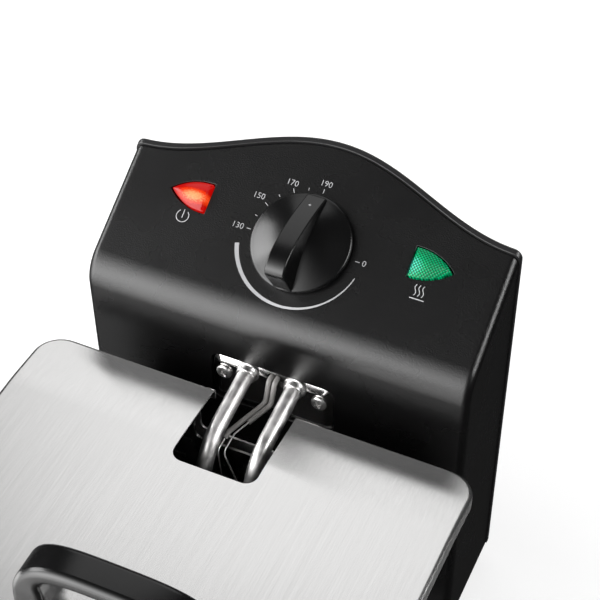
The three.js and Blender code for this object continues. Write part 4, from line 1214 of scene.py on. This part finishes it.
def basket_mesh():
    """Bent wires side by side in both directions, with level wires round them."""
    low, high = span("frying_basket")
    floor, top = low.z + 1.2, high.z - 0.4
    taper, wire, inward = 0.94, 0.75, 1.5
    middle_y = (low.y + high.y) / 2
    half_x, half_y = high.x - wire, (high.y - low.y) / 2 - wire

    def reach(half, across, across_half):
        """Half length of the basket at a place across it, inside its rounded corners."""
        past = abs(across) - (across_half - BASKET_CORNER)
        if past <= 0:
            return half
        return half - BASKET_CORNER + math.sqrt(max(BASKET_CORNER ** 2 - past ** 2, 0))

    parts = []
    for half, across_half, along_x in ((half_x, half_y, True), (half_y, half_x, False)):
        count = int((across_half - 4) / WIRE_PITCH)
        for k in range(-count, count + 1):
            across = k * WIRE_PITCH
            end, near = reach(half, across, across_half), across * taper
            foot = end * taper
            points = [(-end, across, top), (-foot, near, floor), (foot, near, floor), (end, across, top)]
            line = [(a, middle_y + b, z) if along_x else (b, middle_y + a, z) for a, b, z in points]
            parts.append(tube(bent(line, [9.0, 9.0], 5), wire, 8))
    for k in range(6):
        share = 0.16 + 0.14 * k
        size = taper + (1 - taper) * share
        x, y = half_x * size, half_y * size
        outline = rounded(rectangle(-x, x, -y, y), BASKET_CORNER * size, 8)
        x, y, z = 1 - inward / half_x, 1 - inward / half_y, floor + (top - floor) * share
        parts.append(tube([(a * x, middle_y + b * y, z) for a, b in outline], wire, 8, closed=True))
    add_piece("basket_mesh", merged(parts), "basket", WIRE_STEEL, ["frying_basket"], 60)


def basket_handle():
    wire_low, wire_high = span("handle_wire")
    low, high = span("handle_grip")
    radius = 2.0
    z = (wire_low.z + wire_high.z) / 2
    x = wire_high.x - radius
    front, back = wire_low.y + radius, wire_high.y
    rod = tube(bent([(-x, back, z), (-x, front, z), (x, front, z), (x, back, z)], [8, 8], 10), radius, 24)
    add_piece("handle_rod", rod, "basket_handle", WIRE_STEEL, ["handle_wire"], 60)
    half_width, half_height = high.x, (high.z - low.z) / 2
    sections = []
    count = 60
    for k in range(count + 1):
        share = k / count
        end = min(1, math.sqrt(max(1 - (max(share - 0.88, 0) / 0.12) ** 2, 0)) + 0.12)
        start = min(1, 0.9 + share * 4)
        waist = 1 - 0.16 * math.sin(math.pi * min(share / 0.8, 1)) ** 2
        a = half_width * waist * end * start
        b = half_height * (0.98 - 0.12 * math.sin(math.pi * share)) * end * start
        y = high.y - (high.y - low.y) * share
        squared = [[math.copysign(abs(c) ** 0.62, c) for c in point] for point in circle(1.0, 40)]
        sections.append([(a * c, y, z + b * s) for c, s in squared])
    pocket = box_mesh(-x - 2.3, x + 2.3, front - 2.3, high.y + 1, z - 2.3, z + 2.3)
    grip = boolean(skin(sections), [soften(pocket, 1.5, 3, 50)])
    disc = [(0.0, -1.2), (4.2, -1.2), (4.2, 1.2), (0.0, 1.2)]
    dimples = [shifted(lathe(disc, 40), 0, low.y + 14, z + side * half_height) for side in (-1, 1)]
    grip = boolean(grip, dimples)
    add_piece(
        "handle_grip_shell", grip, "basket_handle", SMOOTH_BLACK, ["handle_grip"], 40,
    )


# ---------------------------------------------------------------- rear fittings and inner parts

def rear_fittings():
    profile = [
        (3.6, 0.0), (9.0, 0.0), (9.0, 8.6), (6.0, 8.6), (6.0, 13.4), (9.0, 13.4), (9.0, 15.7),
        (8.6, 16.5), (8.1, 17.2), (7.9, 17.9), (8.2, 18.3), (7.4, 19.2), (7.2, 19.8), (7.0, 20.4),
        (6.4, 21.0), (4.2, 21.0), (3.6, 20.4),
    ]
    turned_piece(
        "cord_bush", profile, 56, "head", SMOOTH_BLACK, "cord_gland", 40, ring=True,
    )
    low, high = span("reset_button")
    radius, length = (high.x - low.x) / 2, high.y - low.y
    edge = 0.9
    cap = [(0.0, 0.0), (radius - 0.3, 0.0), (radius, 0.3), (radius, length - edge)]
    cap += [(radius - edge * (1 - math.cos(t)), length - edge * (1 - math.sin(t))) for t in quarter(6, 1)]
    cap += [(radius * 0.5, length - 0.25), (0.0, length - 0.4)]
    turned_piece("reset_cap", cap, 48, "reset", RESET_RED, "reset_button")

    low, high = span("switch_plunger")
    radius, length = (high.x - low.x) / 2, high.y - low.y
    pin = [(0.0, 0.0), (radius * 0.5, 0.15), (radius * 0.85, 0.7), (radius, 1.6)]
    pin += [(radius, length - 0.4), (radius - 0.4, length), (0.0, length)]
    turned_piece("plunger_pin", pin, 40, "plunger", PHENOLIC, "switch_plunger")
    for node in COVER_SCREWS:
        screw_piece(f"{node}_head", "head", (0, 1, 0), 3.2, 1.8, 1.5, node)


def inner_boxes():
    """Moulded bodies inside the head, each with its own ribs or terminals."""
    low, high = span("terminal_block")
    cuts = []
    for k in range(3):
        x = -16 + 16 * k
        cuts.append(prism(circle(2.2, 24, x, high.y - 4.5), "z", high.z - 4, high.z + 1))
        if k < 2:
            cuts.append(box_mesh(x + 7.4, x + 8.6, low.y - 1, high.y + 1, high.z - 3, high.z + 1))
    block = boolean(soft_block("terminal_block", 1.0), cuts)
    add_piece("terminal_strip", block, "head", NYLON, ["terminal_block"])
    for node, name in (("cutout_body", "cutout_case"), ("safety_switch", "switch_case")):
        low, high = span(node)
        seam_y = (low.y + high.y) / 2
        seam = boolean(
            box_mesh(low.x - 1, high.x + 1, seam_y - 0.4, seam_y + 0.4, low.z - 1, high.z + 1),
            [box_mesh(low.x + 0.6, high.x - 0.6, seam_y - 1, seam_y + 1, low.z + 0.6, high.z - 0.6)],
        )
        add_piece(name, boolean(soft_block(node, 1.2), [seam]), "head", PHENOLIC, [node])
    half, top, depth = 17.0, -WALL - 1, 28.0
    case = soften(box_mesh(-half, half, -half, half, -depth, top), 2.0, 4)
    ledge = boolean(
        box_mesh(-half - 1, half + 1, -half - 1, half + 1, -14.5, -13.5),
        [box_mesh(-half + 0.8, half - 0.8, -half + 0.8, half - 0.8, -16, -12)],
    )
    case = moved(boolean(case, [ledge]), PANEL_MATRIX)
    add_piece("thermostat_case", case, "head", PHENOLIC, ["thermostat_body"])


# ---------------------------------------------------------------- CAD pieces that stay

def finish_cad_nodes():
    """Gives the frame's own pieces their finishes."""
    finishes = {
        "head_runner_left": TEXTURED_BLACK, "head_runner_right": TEXTURED_BLACK,
        "plate_gasket": RUBBER, "thermostat_shaft": BRASS,
        "live_lead": LEAD_BROWN, "neutral_lead": LEAD_BLUE, "earth_lead": LEAD_EARTH,
        "power_lamp": LAMP_GLASS, "ready_lamp": LAMP_GLASS,
    }
    for node, finish in finishes.items():
        mesh = frame["nodes"][node].data
        mesh.materials.clear()
        mesh.materials.append(finish)


# ---------------------------------------------------------------- studio

CAMERA_AT = Vector((0.2343, -0.3128, 0.7459))
CAMERA_AZIMUTH = 24.98
CAMERA_ELEVATION = 45.62
CAMERA_ROLL = -0.62
CAMERA_LENS = 100.05


def towards(azimuth, elevation):
    """A direction from its angles: azimuth 0 is +X and 90 is +Y, elevation is above the floor."""
    azimuth, elevation = math.radians(azimuth), math.radians(elevation)
    flat = math.cos(elevation)
    return Vector((math.cos(azimuth) * flat, math.sin(azimuth) * flat, math.sin(elevation)))


def camera():
    right = towards(CAMERA_AZIMUTH, 0)
    forward = towards(CAMERA_AZIMUTH + 90, -CAMERA_ELEVATION)
    up = right.cross(forward)
    roll = math.radians(CAMERA_ROLL)
    turned = right * math.cos(roll) + up * math.sin(roll)
    raised = up * math.cos(roll) - right * math.sin(roll)
    data = bpy.data.cameras.new("camera")
    data.lens = CAMERA_LENS
    data.sensor_width = 36
    data.clip_start = 0.02
    data.clip_end = 50
    obj = linked("camera", data)
    basis = Matrix((turned, raised, -forward)).transposed().to_4x4()
    obj.matrix_world = Matrix.Translation(CAMERA_AT) @ basis
    bpy.context.scene.camera = obj


def softbox(name, direction, size, power, distance=1.4, target=(0, 0.15, 0.17)):
    """A rectangular area light in a direction from the control head."""
    data = bpy.data.lights.new(name, "AREA")
    data.shape = "RECTANGLE"
    data.size, data.size_y = size
    data.energy = power
    obj = linked(name, data)
    obj.location = Vector(target) + direction * distance
    obj.rotation_mode = "QUATERNION"
    obj.rotation_quaternion = direction.to_track_quat("Z", "Y")


SKY_LEVEL = 0.045                # surround above the horizon
GROUND_LEVEL = 0.03              # surround below it, which only reflections see
WINDOW_LEVEL = 9.0               # a broad soft glow from the front left
WINDOW_TOWARDS = towards(235, 8)
WINDOW_SHARPNESS = 6


def sky():
    """A dim surround, darker below the horizon, with one broad soft glow from the front left."""
    world = bpy.data.worlds.new("studio")
    bpy.context.scene.world = world
    world.use_nodes = True
    tree = Tree(world.node_tree, "Generated")
    height = tree.dot(tree.place, (0, 0, 1))
    horizon = tree.spread(height, GROUND_LEVEL, SKY_LEVEL, -0.1, 0.1, interpolation_type="SMOOTHSTEP")
    glow = tree.calc("MAXIMUM", tree.dot(tree.place, WINDOW_TOWARDS), 0)
    glow = tree.calc("POWER", glow, WINDOW_SHARPNESS)
    glow = tree.calc("MULTIPLY", glow, WINDOW_LEVEL)
    background = tree.nodes["Background"].inputs
    background["Color"].default_value = (1, 1, 1, 1)
    tree.links.new(tree.calc("ADD", glow, horizon), background["Strength"])


def floor_finish(glow):
    """Matt white paper with a faint mottle."""
    finish = Finish("floor_paper", (0.5, 0.5, 0.5), 0.9, Specular_IOR_Level=0.1)
    finish.set(Emission_Color=(1, 1, 1, 1), Emission_Strength=glow)
    finish.bump(finish.noise(600, detail=2.0), 0.00001)
    finish.vary_color(finish.noise(300, detail=2.0), 0.96)
    return finish.material


def staged(name, bm, glow):
    """A part of the studio, which reflections don't show."""
    mesh = mesh_from(name, bm)
    mesh.materials.append(floor_finish(glow))
    obj = linked(name, mesh)
    obj.visible_glossy = False
    return obj


def backdrop():
    """White wall far behind the fryer. Only the camera sees it, so it lights nothing."""
    rings = [[(x, y, height) for x, y in circle(15, 64)] for height in (-0.5, 6)]
    wall = staged("backdrop", skin(rings, cap_start=False, cap_end=False), 0.95)
    wall.visible_diffuse = False
    wall.visible_transmission = False
    wall.visible_shadow = False


def studio():
    sky()
    softbox("back_softbox", towards(112, 45), (1.1, 1.1), 3.9)
    softbox("right_softbox", towards(5, 35), (0.9, 0.6), 14)
    softbox("left_softbox", towards(190, 25), (0.9, 0.6), 12)
    half = 16
    staged("floor", box_mesh(-half, half, -half, half, -0.04, 0), 0.62)
    backdrop()
    bpy.context.scene.view_settings.view_transform = "Standard"


# ---------------------------------------------------------------- the whole fryer

camera()
studio()
front_shell()
rear_cover()
pilot_lights()
dial_print()
knob()
element_parts()
lid()
pot()
housing()
basket()
basket_handle()
rear_fittings()
inner_boxes()
finish_cad_nodes()
